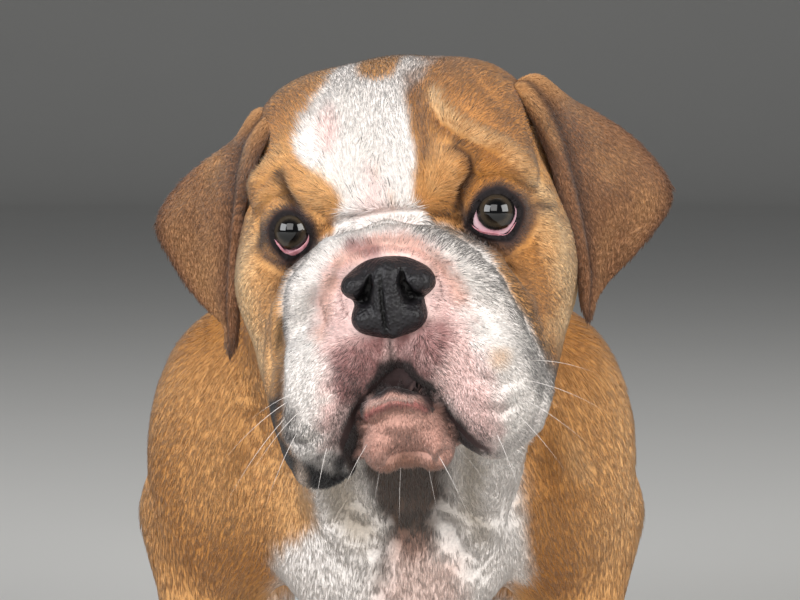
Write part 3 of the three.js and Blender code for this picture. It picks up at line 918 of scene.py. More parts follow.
@dataclass
class FaceFolds:
    """The folds, creases and small swellings of the puppy's face."""

    folds: tuple[Fold, ...] = (
        # Forehead: the long ridge over the left brow, and the furrows round the brow mounds
        Fold(((16, 50), (20, 41), (26, 34), (34, 29), (42, 24.5), (49, 18), (54, 9), (57, -2)), 3.6, 2.6),
        Fold(((16, 49), (18, 42), (22, 34), (27, 30), (36, 24), (44, 19)), 2.2, -2.0),
        Fold(((9, 60), (10, 46), (12, 34), (13.5, 26), (13, 14)), 2.8, -1.6),
        Fold(((28, 58), (36, 48), (46, 38), (54, 28)), 3.0, -1.2),
        Fold(((20, 15),), 8.0, 2.6),
        Fold(((24, 26), (31, 22), (31, 15), (25.5, 9.5), (25, 2), (27, -4)), 2.2, -3.2),
        Fold(((-13, 52), (-22, 42), (-32, 36), (-44, 32)), 4.0, 1.2),
        Fold(((-40, 23), (-48, 18), (-55, 12)), 2.4, -1.6),
        Fold(((-36, 30), (-46, 24), (-55, 17)), 2.8, 1.4),
        Fold(((-24, 13),), 8.0, 2.4),
        Fold(((-39, 22), (-37, 13.5), (-33.5, 7.5), (-31, 1)), 2.2, -3.2),
        Fold(((0, 46), (-1, 28), (-1, 12)), 4.0, -0.8),
        # The stop, above the roll
        Fold(((-28, -2), (-18, 2), (0, 3.2), (12, 2.4), (24, -3)), 2.2, -2.6),
        Fold(((24, -3), (34, -11), (42, -22), (47, -36), (51, -50), (54, -64)), 2.0, -2.8),
        Fold(((-28, -2), (-37, -10), (-42.5, -22), (-43.5, -36), (-43, -52), (-44, -64)), 2.0, -3.2),
        # The dip between the roll and the nose
        Fold(((-20, -26), (-19, -16), (-12, -8.5), (0, -6.5), (11, -9), (20, -17), (22, -25)), 2.4, -1.8),
        Fold(((-26, -36), (-28, -27), (-27, -18)), 2.6, -1.6),
        Fold(((20, -25), (27, -29), (33, -36), (37, -44)), 2.4, -1.6),
        # The flews
        Fold(((27, -46), (30, -56), (36.5, -60.5), (43, -59)), 2.6, -1.5),
        Fold(((36, -50),), 8.0, 2.2),
        Fold(((28, -36), (32, -41), (38, -43)), 2.4, -1.0),
        Fold(((30, -67), (37, -70), (43, -67)), 2.6, -1.2),
        Fold(((37, -65),), 5.0, 1.4),
        Fold(((18, -48), (23, -57), (24, -68)), 2.4, -1.0),
        Fold(((-20, -46), (-24, -56), (-24, -66)), 2.6, -1.0),
        Fold(((-33, -44), (-35, -56), (-33, -68)), 3.0, -1.0),
        Fold(((-26, -70), (-34, -76), (-42, -76)), 2.4, -1.0),
        Fold(((-12, -65.4), (-2, -61.4), (8, -64.4)), 0.9, -0.5),
        # Round the eyes
        Fold(((27, -9), (33, -14), (41, -15.5), (49, -11), (53, -3)), 1.8, -1.2),
        Fold(((-29, -8), (-35, -13), (-43, -14), (-51, -9)), 1.8, -1.2),
        Fold(((28, 8), (34, 13), (41, 13.5), (49, 9), (54, 3)), 1.6, -1.3),
        Fold(((-36, 12.5), (-43, 12.5), (-50, 8), (-54, 2)), 1.6, -1.3),
        # The cheeks
        Fold(((52, -8), (56, -24), (59, -40)), 2.8, -1.2),
        Fold(((57, -4), (61, -22)), 3.0, 1.0),
        Fold(((-50, -12), (-54, -26), (-55, -42)), 2.6, -1.2),
        Fold(((-56, -8), (-60, -24)), 3.0, 1.0),
        Fold(((-47, -16), (-49, -34), (-49, -56)), 2.2, -1.2),
    )
    chest: tuple[Fold, ...] = (
        Fold(((-33, 170), (-31, 150), (-29, 130), (-21, 116), (-10, 107)), 4.5, 3.0),
        Fold(((-18, 170), (-18, 150), (-15, 132), (-8, 118)), 5.5, -4.0),
        Fold(((22, 170), (22, 146), (22, 126), (28, 112), (38, 100)), 3.6, -5.5),
        Fold(((36, 170), (36, 146), (37, 126), (44, 112)), 6.0, 3.0),
        Fold(((2, 134), (-1.6, 118), (-3, 100), (-6, 80)), 2.6, -4.0),
        Fold(((6, 176), (8, 150), (10, 128)), 11.0, -6.0),
        Fold(((-58, 168), (-56, 148), (-62, 130)), 7.0, -4.0),
        Fold(((62, 168), (60, 148), (66, 128)), 7.0, -4.0),
        Fold(((50, 140), (49, 124), (58, 112)), 4.0, -2.5),
    )

    def chest_lift(self, points: Points, normals: Array) -> Array:
        """How far each point of the throat and chest moves out along its normal.

        Args:
            points: Places in the body's frame.
            normals: Their normals there.

        Returns:
            Millimetres, below 0 where the skin goes in.
        """
        facing = smoothstep(0.0, 0.4, -normals[:, 1]) * smoothstep(-60.0, -75.0, points[:, 1])
        return self._total(self.chest, points, facing)

    def lift(self, local: Points, normals: Array) -> Array:
        """How far each point of the skin moves out along its normal.

        Args:
            local: Places in the head's frame.
            normals: Their normals in the head's frame.

        Returns:
            Millimetres, below 0 where the skin goes in.
        """
        facing = smoothstep(0.0, 0.45, -normals[:, 1]) * smoothstep(40.0, 25.0, local[:, 1])
        return self._total(self.folds, local, facing)

    @staticmethod
    def _total(folds: Sequence[Fold], points: Points, facing: Array) -> Array:
        """Adds up the folds at points.

        Args:
            folds: The folds.
            points: The points; the folds read their x and z.
            facing: How much each point faces forwards, from 0 to 1.

        Returns:
            Millimetres outwards.
        """
        total = np.zeros(len(points))
        where = np.flatnonzero(facing > 0)
        flat = points[where][:, [0, 2]]
        for fold in folds:
            gap, along = line_gap(flat, np.array(fold.line, float))
            taper = np.sin(np.pi * np.clip(along, 0.02, 0.98)) ** 0.5 if len(fold.line) > 1 else 1.0
            total[where] += fold.height * taper * np.exp(-((gap / fold.width) ** fold.sharp))
        return total * facing


def line_gap(flat: Array, line: Array) -> tuple[Array, Array]:
    """How far points in a plane lie from a line of points.

    Args:
        flat: Rows of two numbers.
        line: The line's points; it may be one point.

    Returns:
        The gaps, and how far along the line the nearest place is, from 0 to 1.
    """
    if len(line) == 1:
        return np.linalg.norm(flat - line[0], axis=1), np.full(len(flat), 0.5)
    lengths = np.linalg.norm(np.diff(line, axis=0), axis=1)
    starts = np.concatenate([[0.0], np.cumsum(lengths)])
    best, place = np.full(len(flat), np.inf), np.zeros(len(flat))
    for a, b, length, start in zip(line[:-1], line[1:], lengths, starts):
        along = (b - a) / length
        t = np.clip((flat - a) @ along, 0, length)
        gap = np.linalg.norm(flat - a - t[:, None] * along, axis=1)
        closer = gap < best
        best[closer] = gap[closer]
        place[closer] = (start + t[closer]) / starts[-1]
    return best, place


def outline_gap(flat: Array, outline: Array) -> Array:
    """Signed distance to a closed outline, negative inside.

    Args:
        flat: Rows of two numbers.
        outline: Its corners in order.

    Returns:
        The distances.
    """
    gap, _ = line_gap(flat, np.vstack([outline, outline[:1]]))
    inside = np.zeros(len(flat), bool)
    for a, b in zip(outline, np.roll(outline, -1, axis=0)):
        crosses = (a[1] > flat[:, 1]) != (b[1] > flat[:, 1])
        if a[1] != b[1]:
            inside ^= crosses & (flat[:, 0] < (b[0] - a[0]) * (flat[:, 1] - a[1]) / (b[1] - a[1]) + a[0])
    return np.where(inside, -gap, gap)


class Plane(Enum):
    """Which way a marking is looked at."""

    FACE = "the head's x and z, from the front"
    CHEST = "the body's x and z, from the front"
    SIDE = "the body's y and z, from either side"
    BELLY = "the same, but only between the legs"


@dataclass(frozen=True)
class Marking:
    """A patch of one colour with a soft, uneven edge.

    The outline is a closed line of points, or with a width a stroke along the line.
    """

    colour: Station
    outline: Line
    feather: float = 2.5
    strength: float = 1.0
    width: float = 0.0
    mottle: float = 0.0
    plane: Plane = Plane.FACE


@dataclass(frozen=True)
class MouthShadow:
    """Painted shadow in the gap over the lower lip, standing in for the shaded inside of the mouth.

    Each pair is where the painted shadow starts and where it is full, in the head's frame.
    """

    middle_x: float = 1.0
    width: tuple[float, float] = (13.0, 11.0)
    front: tuple[float, float] = (-37.0, -35.0)
    back: tuple[float, float] = (-18.0, -22.0)
    floor: tuple[float, float] = (-61.2, -60.0)
    roof: tuple[float, float] = (-46.0, -49.0)
    strength: float = 0.97

    def share(self, local: Points) -> Array:
        """How much painted shadow places in the head's frame get, from 0 to 1."""
        x, y, z = local.T
        across = smoothstep(*self.width, np.abs(x - self.middle_x))
        inside = smoothstep(*self.front, y) * smoothstep(*self.back, y) * across
        return inside * (smoothstep(*self.floor, z) * smoothstep(*self.roof, z) * self.strength)


@dataclass
class Markings:
    """The coat's colours over the whole puppy, with painted highlights and shade among them, as soft patches
    laid one on another.
    """

    body: BodyFrame
    form: PuppyForm
    patches: tuple[Marking, ...] = (
        # The blaze, and the tan patch in it at the crown
        Marking(WHITE, ((-16, 66), (-20, 58), (-24, 50), (-30, 42), (-33, 32), (-31, 26), (-25, 20),
                        (-19, 14),
                        (-17, 8), (-22, 2), (-20, -6), (16, -6), (12, 2), (9, 6), (9, 14), (11, 20), (11, 26),
                        (9.5, 33), (8.5, 40), (7, 45), (12, 49), (16, 54), (20, 62), (22, 70)), 1.6),
        Marking(TAN, ((-11, 72), (-12, 60), (-10, 54), (-3, 52.5), (3, 54), (5, 60), (7, 72)), 1.6),
        Marking(PINK, ((-20, 44), (-24, 38), (-22, 28), (-18, 27), (-17, 36)), 3.0, 0.55),
        Marking(PINK, ((-8, 20), (-4, 20), (0, 4), (-12, 4)), 4.0, 0.35),
        Marking(TAN, ((-6, 18), (-4, 16), (-3, 20)), 1.5, 0.35),
        Marking(TAN, ((1, 4), (2, 9), (0, 10)), 1.5, 0.45),
        # The white of the roll and of the upper lips
        Marking(WHITE, ((-19, 0), (-30, -5), (-37, -13), (-41, -20), (-42, -27), (-41.5, -40), (-42, -52),
                        (-42, -62), (-44, -74), (-38, -84), (-28, -94), (-10, -96), (12, -96), (36, -96),
                        (50, -84),
                        (55, -70), (53, -57), (50, -47), (46, -37), (42, -28), (38, -18), (33, -11),
                        (23, -5), (12, 0)), 1.6),
        Marking(GREY, ((14, -3), (27, -10), (36, -20), (42, -31), (47, -44), (51, -57), (53, -66)), 2.0, 0.22,
                width=4.5, mottle=0.9),
        Marking(GREY, ((12, -5), (20, -9), (28, -16)), 2.0, 0.15, width=3.0, mottle=1.0),
        Marking(GREY, ((-36, -14), (-40, -24), (-40, -36)), 2.0, 0.35, width=2.5, mottle=0.9),
        # Pink skin that shows round the nose and through the lips' white
        Marking(PINK, ((-26, -40), (-24, -24), (-20, -12), (-10, -5), (4, -3.5), (14, -8), (20, -14),
                       (24, -24),
                       (26, -38), (32, -50), (36, -62), (36, -76), (30, -86), (20, -80), (18, -66),
                       (-16, -66),
                       (-20, -82), (-28, -78), (-28, -62), (-24, -50)), 5.0, 0.62),
        Marking(PINK_WARM, ((-17, -12), (-4, -6), (8, -8), (16, -13), (22, -22), (24, -28)), 2.0, 0.6,
                width=2.6),
        Marking(PINK_WARM, ((-20, -18), (-24, -26), (-26, -36)), 2.5, 0.6, width=2.6),
        Marking(MAUVE, ((-12, -6), (-4, -9)), 2.0, 0.7, width=2.6),
        Marking(MAUVE, ((-2, -37), (-11, -39), (-20, -42), (-23, -50), (-22, -60), (-17, -64), (-11, -59),
                        (-4, -54)),
                3.0, 0.85, mottle=0.15),
        Marking(MAUVE, ((0, -37), (10, -36), (19, -33), (22, -42), (17, -50), (12, -57), (5, -57),
                        (-1, -52)), 3.0, 0.8,
                mottle=0.25),
        Marking(MAUVE, ((-27, -22), (-28, -34)), 2.5, 0.4, width=2.0),
        # The chin, with painted shade round it, in the gap above it, beside its lobes and along its lower
        # edge
        # Painted shade round the chin, where it sits back between the flews
        Marking(THROAT_BROWN_AND_SHADE, ((-24, -78), (-20, -70), (-14, -64), (14, -64), (22, -72), (28, -82), (24, -96),
                         (-22, -96)),
                1.6, 0.9),
        Marking(CHIN, ((-15.5, -68), (-10, -61.5), (-2, -58), (6, -60.5), (13, -65), (17.5, -73), (18, -84),
                       (13, -92), (-10, -91), (-16, -82)), 1.4, 0.95),
        Marking(LIP_RED, ((-13.5, -68), (-8.5, -65.0), (-2, -63.0), (5, -63.6), (10, -66)), 1.1, 0.9,
                width=1.1),
        Marking(CHIN_RIM, ((-9, -62.6), (-2.4, -61.0), (5.4, -62.0)), 0.8, 0.7, width=0.5),
        # Painted shadow in the gap between the upper lips, above the lower lip
        Marking(DARK, ((-2.2, -50.4), (-8, -55.0), (-12, -60.6), (-9, -61.2), (-2, -59.2), (5, -60.2),
                       (9.5, -62.6),
                       (13.5, -63), (9.5, -57.6), (3.4, -53.0)), 0.8, 0.97),
        # Painted shade in the creases between the chin's lobes and the flews
        Marking(DARK, ((-14, -63), (-17.5, -70), (-19.5, -76), (-20, -83), (-19, -90)), 1.4, 0.95, width=2.2),
        Marking(DARK, ((12, -63), (17.5, -70), (21, -76), (22.5, -83), (22, -90)), 1.4, 0.95, width=2.2),
        # Painted shade along the chin's lower edge
        Marking(TAN_DARK, ((-12, -90), (-1, -86), (12, -90)), 3.0, 0.45, width=2.6),
        # The dark line of the lips and the black at the right upper lip's edge
        Marking(DARK, ((-1.2, -39), (-2.4, -52)), 1.2, 0.9, width=0.5),
        Marking(DARK, ((-2.6, -52.6), (-7.4, -56.8), (-12.4, -61), (-17.8, -67), (-21.4, -74), (-24, -84)),
                1.4, 0.96,
                width=1.9),
        Marking(DARK, ((-2.6, -52.6), (5.6, -59), (11.6, -64.6), (17.6, -71.2), (22, -77.2), (29, -84)), 1.4,
                0.94,
                width=1.7),
        Marking(EYE_SKIN, ((-14, -58), (-20, -64), (-24, -72), (-26, -80)), 2.6, 0.6, width=1.6, mottle=0.4),
        Marking(EYE_SKIN, ((12, -60), (18, -66), (24, -75), (30, -81)), 2.2, 0.45, width=1.2, mottle=0.4),
        Marking(BLACK, ((-43, -58), (-46, -70), (-42, -79), (-34, -84), (-27, -88), (-20, -90), (-22, -100),
                        (-42, -98), (-56, -76), (-50, -58)), 2.2, 1.0),
        Marking(DARK, ((-40, -62), (-41, -72), (-35, -79), (-28, -84)), 3.0, 0.8, width=3.2, mottle=0.7),
        Marking(BLACK, ((-26, -84), (-24, -90)), 2.0, 0.9, width=2.5),
        # Black hair and painted shade in the crease between the right flew and the cheek
        Marking(DARK, ((-42, -32), (-43, -46), (-44, -60)), 2.0, 0.8, width=1.8),
        Marking(EYE_SKIN, ((32, -86), (42, -82), (49, -74)), 2.5, 0.45, width=1.6),
        # Deeper tan on the forehead's sides, lighter tan on the cheeks and a darker band under each eye;
        # painted highlights along the forehead's and cheeks' ridges and painted shade in their creases and
        # valleys
        Marking(TAN_DEEP, ((12, 62), (14, 46), (18, 36), (30, 30), (48, 20), (56, 34), (44, 52), (28, 64)),
                6.0, 0.85),
        Marking(TAN_DEEP, ((-22, 62), (-28, 48), (-36, 38), (-52, 26), (-56, 36), (-44, 52)), 6.0, 0.8),
        Marking(TAN_LIGHT, ((54, -2), (66, -6), (68, -40), (60, -56), (55, -50), (58, -30)), 5.0, 0.75),
        Marking(TAN_LIGHT, ((-54, -2), (-66, -6), (-68, -40), (-58, -56), (-51, -50), (-54, -30)), 5.0, 0.8),
        # Painted shade in the furrow beside the blaze and in the crease under the left brow's ridge
        Marking(TAN_DARK, ((9.5, 52), (12, 42), (15, 32), (15, 24)), 3.4, 0.8, width=2.8),
        Marking(TAN_DARK, ((22, 31), (30, 26), (40, 20), (47, 13)), 2.6, 0.45, width=1.6),
        # Painted highlights along the forehead's and cheeks' ridges
        Marking(TAN_LIGHT, ((18, 46), (24, 37), (32, 31), (42, 26), (50, 18), (55, 6)), 2.6, 0.85, width=1.8),
        Marking(TAN_LIGHT, ((56, 4), (60, -8), (62, -24), (60, -44)), 4.0, 0.7, width=2.2),
        Marking(TAN_LIGHT, ((-56, 4), (-60, -10), (-60, -26), (-56, -46)), 4.0, 0.6, width=2.0),
        Marking(TAN_LIGHT, ((-38, 30), (-47, 24), (-56, 17)), 2.6, 0.5, width=1.2),
        Marking(TAN_DARK, ((41, -14), (46, -24), (51, -36)), 3.4, 0.7, width=2.2, mottle=0.2),
        Marking(TAN_DARK, ((-42, -14), (-47, -24), (-49, -38)), 3.4, 0.6, width=2.0, mottle=0.2),
        # Painted shade in the forehead's creases
        Marking(TAN_DARK, ((-40, 23), (-48, 18), (-55, 12)), 2.0, 0.5, width=0.8),
        Marking(TAN_DARK, ((30, 56), (38, 46), (48, 36)), 3.0, 0.35, width=1.4),
        # Round the eyes
        Marking(TAN_LIGHT, ((-24, 14),), 4.0, 0.4, width=6.0, mottle=0.5),
        Marking(TAN_LIGHT, ((20, 15), (22, 22)), 4.0, 0.3, width=5.0, mottle=0.3),
        # Painted shade in the deep creases between the brow mounds and the eyes
        Marking(DARK, ((27, 25), (31, 21.5), (31, 15), (26, 9.5), (25.5, 3), (27.5, -4)), 2.2, 0.92,
                width=1.7),
        Marking(DARK, ((-38.5, 21), (-36.7, 13.5), (-33.3, 7.5), (-31, 2)), 2.2, 0.92, width=1.9),
        Marking(EYE_SKIN, ((46, 6), (51, 6)), 2.6, 0.55, width=1.4),
        Marking(DARK, ((46, 1.5), (51, 1.5), (56, 0.5)), 2.6, 0.85, width=1.5),
        Marking(DARK, ((-43.5, 4), (-47.5, 2), (-50, -4)), 2.6, 0.9, width=2.6),
        Marking(EYE_SKIN, ((29, -6), (35, -11.5), (43, -12.5), (48, -7.5), (52, -2)), 2.8, 0.8, width=2.2),
        Marking(EYE_SKIN, ((-32, -7), (-36, -11), (-42, -12), (-47, -8)), 2.8, 0.85, width=2.4),
        Marking(DARK, ((-33, 4), (-37, 8.5), (-42, 7)), 1.8, 0.8, width=1.4),
        Marking(DARK, ((31, 4), (36, 9), (42, 9.5), (46, 6)), 1.6, 0.75, width=0.8),
        # The chest and throat, with painted shade on the white folds, in the throat under the head and in the
        # chest's creases, and painted light on the left shoulder
        Marking(WHITE, ((-36, 176), (-34, 150), (-31, 133), (-31, 123), (-37, 116), (-48, 108), (-51, 98),
                        (-47, 88),
                        (-40, 60), (50, 60), (58, 90), (58, 101), (56, 112), (54, 125), (54, 150), (52, 176)),
                3.0, 1.0, plane=Plane.CHEST),
        # Painted shade on the white folds of the chest
        Marking(SHADE, ((-22, 176), (-21, 150), (-19, 132), (-12, 120)), 4.0, 0.7, width=6.0,
                plane=Plane.CHEST),
        Marking(SHADE, ((32, 176), (31, 150), (30, 134), (36, 118)), 4.0, 0.65, width=4.0, plane=Plane.CHEST),
        # Dark brown hair of the throat, deepened by painted shadow under the head
        Marking(THROAT_BROWN_AND_SHADE, ((-16, 182), (-12, 150), (-9, 138), (-4, 126), (0, 114), (10, 108), (19, 116),
                         (22, 137),
                         (23, 150), (26, 182)), 4.5, 0.95, plane=Plane.CHEST),
        Marking(PINK_WARM, ((1, 118), (-4, 100), (-6, 84), (30, 84), (28, 104), (20, 114)), 6.0, 0.5,
                plane=Plane.CHEST),
        # Painted shade in the chest's creases
        Marking(THROAT_BROWN_AND_SHADE, ((3, 126), (-2, 113), (-6, 95)), 2.0, 0.7, width=0.8, plane=Plane.CHEST),
        Marking(THROAT_BROWN_AND_SHADE, ((23, 140), (22, 126), (27, 113), (34, 104)), 2.4, 0.6, width=1.0, plane=Plane.CHEST),
        # A lighter patch on the left shoulder, painted light
        Marking(TAN_LIGHT, ((70, 164), (78, 140)), 7.0, 0.6, width=5.0, plane=Plane.CHEST),
        # White socks and belly
        Marking(WHITE, ((-110, -10), (-110, 74), (-72, 68), (-46, 56), (-20, 50), (6, 46), (6, -10)), 7.0,
                0.95,
                plane=Plane.SIDE),
        Marking(WHITE, ((90, 20), (90, 40), (130, 46), (180, 40), (180, -10), (90, -10)), 6.0, 0.95,
                plane=Plane.SIDE),
        Marking(WHITE, ((-60, 92), (0, 100), (60, 112), (90, 118), (90, 80), (0, 60), (-60, 60)), 8.0, 0.9,
                plane=Plane.BELLY),
    )
    # Painted shadow in the mouth's gap over the lower lip
    gap: MouthShadow = MouthShadow()
    lids: tuple[tuple[Station, float, float, float], ...] = (
        (EYE_SKIN, 4.0, 1.5, 0.7), (DARK, 2.6, 1.0, 0.9), (BLACK, 1.5, 0.5, 0.95),
    )
    ticked: tuple[tuple[Line, float, float], ...] = (
        (((14, -2), (27, -9), (36, -19), (43, -31), (48, -44), (51, -57), (53, -66)), 6.5, 0.62),
        (((40, -24), (47, -38), (51, -52), (53, -64)), 3.5, 0.8),
        (((18, -6), (28, -14), (36, -27)), 7.0, 0.3),
        (((-30, -8), (-38, -18), (-41, -34)), 4.0, 0.3),
        (((-30, -72), (-38, -74), (-42, -66)), 8.0, 0.35),
        (((-14, -58), (-20, -66), (-24, -78)), 6.0, 0.45),
        (((-14, -44), (-17, -54)), 9.0, 0.35),
        (((12, -42), (14, -50)), 8.0, 0.3),
        (((14, -60), (22, -70), (30, -78)), 3.5, 0.4),
        (((24, -40), (30, -52), (34, -62)), 9.0, 0.10),
        (((-4, 20), (0, 8)), 5.0, 0.12),
    )

    def _flat(self, plane: Plane, points: Points, local: Points, on_head: Array) -> tuple[Array, Array]:
        """Looks at points the way that a marking is looked at.

        Args:
            plane: The way.
            points: Places in the body's frame.
            local: The same in the head's frame.
            on_head: 1 where they are on the head, 0 elsewhere.

        Returns:
            The plane's two numbers for each point, and how far the marking can reach it, from 0 to 1.
        """
        if plane is Plane.FACE:
            return local[:, [0, 2]], smoothstep(46.0, 34.0, local[:, 1]) * on_head
        if plane is Plane.CHEST:
            back = points[:, 1] + 0.5 * (points[:, 2] - 100) + 24 * (noise(points, 15.0, 9) - 0.5)
            return points[:, [0, 2]], smoothstep(-58.0, -72.0, back) * (1 - on_head)
        if plane is Plane.BELLY:
            return points[:, [1, 2]], smoothstep(56.0, 44.0, np.abs(points[:, 0]))
        return points[:, [1, 2]], np.ones(len(points))

    def colour(self, points: Points) -> Array:
        """The coat's colour at places of the skin, with its painted highlights and shade.

        Args:
            points: Places in the body's frame.

        Returns:
            Linear colours.
        """
        local = self.body.to_head(points)
        rough = np.stack([noise(points, 5.0, k) + 0.6 * noise(points, 2.2, k + 3) - 0.8 for k in (1, 2)], 1)
        spots = 0.6 * noise(points, 2.6, 7) + 0.4 * noise(points, 1.3, 8)
        tone = np.clip(noise(points, 34.0, 5) - 0.5, -0.5, 0.5)
        colours = linear(TAN) + tone[:, None] * (linear(TAN_LIGHT) - linear(TAN_DARK)) * 0.6
        on_head = np.zeros(len(points))
        front = np.flatnonzero((local[:, 1] < 50) & (local[:, 2] > -110))
        on_head[front] = smoothstep(2.5, 0.5, self.form.head.at(local[front]))
        for patch in self.patches:
            flat, reach = self._flat(patch.plane, points, local, on_head)
            where = np.flatnonzero(reach > 0)
            moved = flat[where] + rough[where] * patch.feather * 0.9
            line = np.array(patch.outline, float)
            gap = line_gap(moved, line)[0] - patch.width if patch.width else outline_gap(moved, line)
            weight = smoothstep(patch.feather, -patch.feather, gap) * patch.strength * reach[where]
            if patch.mottle:
                weight *= 1 - patch.mottle * (1 - smoothstep(0.4, 0.6, spots[where]))
            colours[where] += (linear(patch.colour) - colours[where]) * weight[:, None]
        # Painted shadow in the mouth's gap over the lower lip
        colours += (linear(DARK) - colours) * self.gap.share(local)[:, None]
        for _, side in SIDES:
            away = local - self.body.eye(side)
            near = np.flatnonzero((np.linalg.norm(away, axis=1) < 22) & (away[:, 1] < 4))
            gap = outline_gap(away[near][:, [0, 2]], EyeShape().outline(side, 48))
            for tone, start, full, strength in self.lids:
                weight = smoothstep(start, full, gap + 0.5 * rough[near, 0]) * strength
                colours[near] += (linear(tone) - colours[near]) * weight[:, None]
        return colours

    def ticking(self, local: Points) -> Array:
        """The share of dark hairs among the pale ones.

        Args:
            local: Places in the head's frame.

        Returns:
            Shares between 0 and 1.
        """
        flat = local[:, [0, 2]]
        share = np.full(len(local), 0.03)
        for line, width, most in self.ticked:
            gap = line_gap(flat, np.array(line, float))[0]
            share = np.maximum(share, most * smoothstep(width, width * 0.3, gap))
        return share * (local[:, 1] < 20)


def neighbour_mean(points: Points, edges: Array) -> Points:
    """The mean of each vertex's neighbours.

    Args:
        points: The vertices.
        edges: Pairs of indices.

    Returns:
        One mean for each vertex.
    """
    count = np.bincount(edges.ravel(), minlength=len(points))
    total = np.zeros_like(points)
    for axis in range(3):
        total[:, axis] = np.bincount(edges[:, 0], points[edges[:, 1], axis], len(points))
        total[:, axis] += np.bincount(edges[:, 1], points[edges[:, 0], axis], len(points))
    return total / np.maximum(count, 1)[:, None]


@dataclass
class Comb:
    """The lie of the coat: listed directions, blended by nearness.

    Each row is a place and the way that the hair there points; with both, it holds on both sides.
    """

    body: BodyFrame
    head_rows: tuple[tuple[Station, Station], ...] = (
        ((0, -30, 0), (0, 0.4, 1)), ((0, 2, 20), (0, 0.4, 1)), ((0, 10, 45), (0, 0.7, 0.7)),
        ((0, 40, 63), (0, 1, 0)), ((0, 85, 45), (0, 1, -0.8)),
        ((12, -30, -4), (0.5, 0.3, 0.9)), ((24, -24, -8), (0.9, 0.3, 0.5)),
        ((36, -16, -20), (0.9, 0.5, -0.1)),
        ((46, -8, -38), (0.7, 0.5, -0.6)), ((50, 0, -58), (0.5, 0.6, -0.8)),
        ((18, 4, 10), (0.1, 0.2, 1)), ((24, 6, 16), (0.8, 0.2, 0.5)), ((12, 6, 20), (-0.5, 0.2, 0.8)),
        ((20, 5, 4), (0.4, 0, -1)), ((28, 12, 34), (0.6, 0.4, 0.6)), ((44, 24, 36), (0.7, 0.7, 0.1)),
        ((38, -6, 14), (0.7, 0.3, 0.4)), ((50, 4, 4), (0.7, 0.7, -0.3)), ((26, -8, -6), (0.4, 0.2, -0.9)),
        ((38, -6, -14), (0.5, 0.4, -0.8)), ((52, 10, -20), (0.4, 0.6, -0.7)),
        ((62, 28, -20), (0.2, 0.8, -0.6)),
        ((58, 25, -48), (0, 0.7, -0.8)), ((58, 40, 20), (0.3, 0.9, -0.3)), ((40, 40, 52), (0.6, 0.9, -0.1)),
        ((8, -40, -46), (0.3, 0, -1)), ((20, -38, -46), (0.7, 0, -0.7)), ((22, -36, -34), (0.9, 0, -0.3)),
        ((32, -36, -58), (0.6, 0.2, -0.8)), ((30, -34, -76), (0.3, 0.2, -1)), ((18, -34, -78), (0, 0.2, -1)),
        ((44, -22, -72), (0.5, 0.6, -0.6)), ((0, -36, -72), (0, 0, -1)), ((10, -34, -84), (0.15, 0.3, -1)),
        ((0, 10, -92), (0, 1, -0.1)), ((34, 10, -88), (0.1, 1, -0.4)),
        ((54, 38, 48), (0.8, 0.5, 0.1)), ((76, 46, 38), (0.7, 0.4, -0.6)), ((92, 54, 14), (0.3, 0.3, -0.9)),
        ((84, 38, -10), (-0.2, 0, -1)), ((72, 30, -34), (-0.2, 0, -1)), ((60, 30, 20), (0.2, 0, -1)),
        ((98, 50, 0), (-0.2, 0, -1)),
    )
    body_rows: tuple[tuple[Station, Station], ...] = (
        ((0, -90, 250), (0, 1, -0.6)), ((0, -40, 242), (0, 1, -0.1)), ((0, 60, 236), (0, 1, 0)),
        ((0, 140, 226), (0, 1, -0.4)), ((0, 178, 190), (0, 0.5, -1)),
        ((84, -60, 214), (0.5, 0.6, -0.9)), ((106, -42, 150), (0, 0.4, -1)), ((84, -92, 150), (0.3, 0.3, -1)),
        ((60, -104, 170), (0.3, 0, -1)), ((14, -120, 150), (0.1, 0.1, -1)), ((20, -116, 110), (0.1, 0, -1)),
        ((50, -90, 90), (0.4, 0.1, -1)), ((72, 20, 170), (0, 1, -0.5)), ((60, 60, 190), (0, 1, -0.3)),
        ((60, 20, 110), (0, 0.9, -0.5)), ((0, 30, 88), (0, 1, 0)), ((0, 90, 120), (0, 1, 0.2)),
        ((88, 110, 170), (0, 0.6, -0.9)), ((86, 110, 120), (0, 0.3, -1)), ((50, 170, 170), (0.2, 0.1, -1)),
        ((80, -30, 70), (0, 0.15, -1)), ((80, -30, 36), (0, -0.1, -1)), ((74, -66, 24), (0, -1, -0.5)),
        ((64, 146, 70), (0, 0.1, -1)), ((62, 140, 36), (0, -0.1, -1)), ((62, 112, 22), (0, -1, -0.5)),
    )

    def __post_init__(self) -> None:
        """Lays the rows out on both sides, in the body's frame."""
        places, ways = [], []
        for rows, on_head in ((self.head_rows, True), (self.body_rows, False)):
            for place, way in rows:
                for side in (1, -1) if place[0] else (1,):
                    p, w = (np.array([side * v[0], *v[1:]], float) for v in (place, way))
                    places.append(self.body.from_head(p[None])[0] if on_head else p)
                    ways.append(self.body.turned @ w if on_head else w)
        self.places, self.ways = np.array(places), unit(np.array(ways))

    def lie(self, points: Points, normals: Array) -> Array:
        """The way the hair lies along the skin.

        Args:
            points: Places in the body's frame.
            normals: The skin's normals there.

        Returns:
            Directions of length one along the skin.
        """
        way = np.zeros_like(points)
        for place, direction in zip(self.places, self.ways):
            gap2 = ((points - place) ** 2).sum(1)
            way += direction / (gap2[:, None] + 9.0) ** 2
        way = unit(way)
        way -= normals * (way * normals).sum(1, keepdims=True)
        return unit(way)


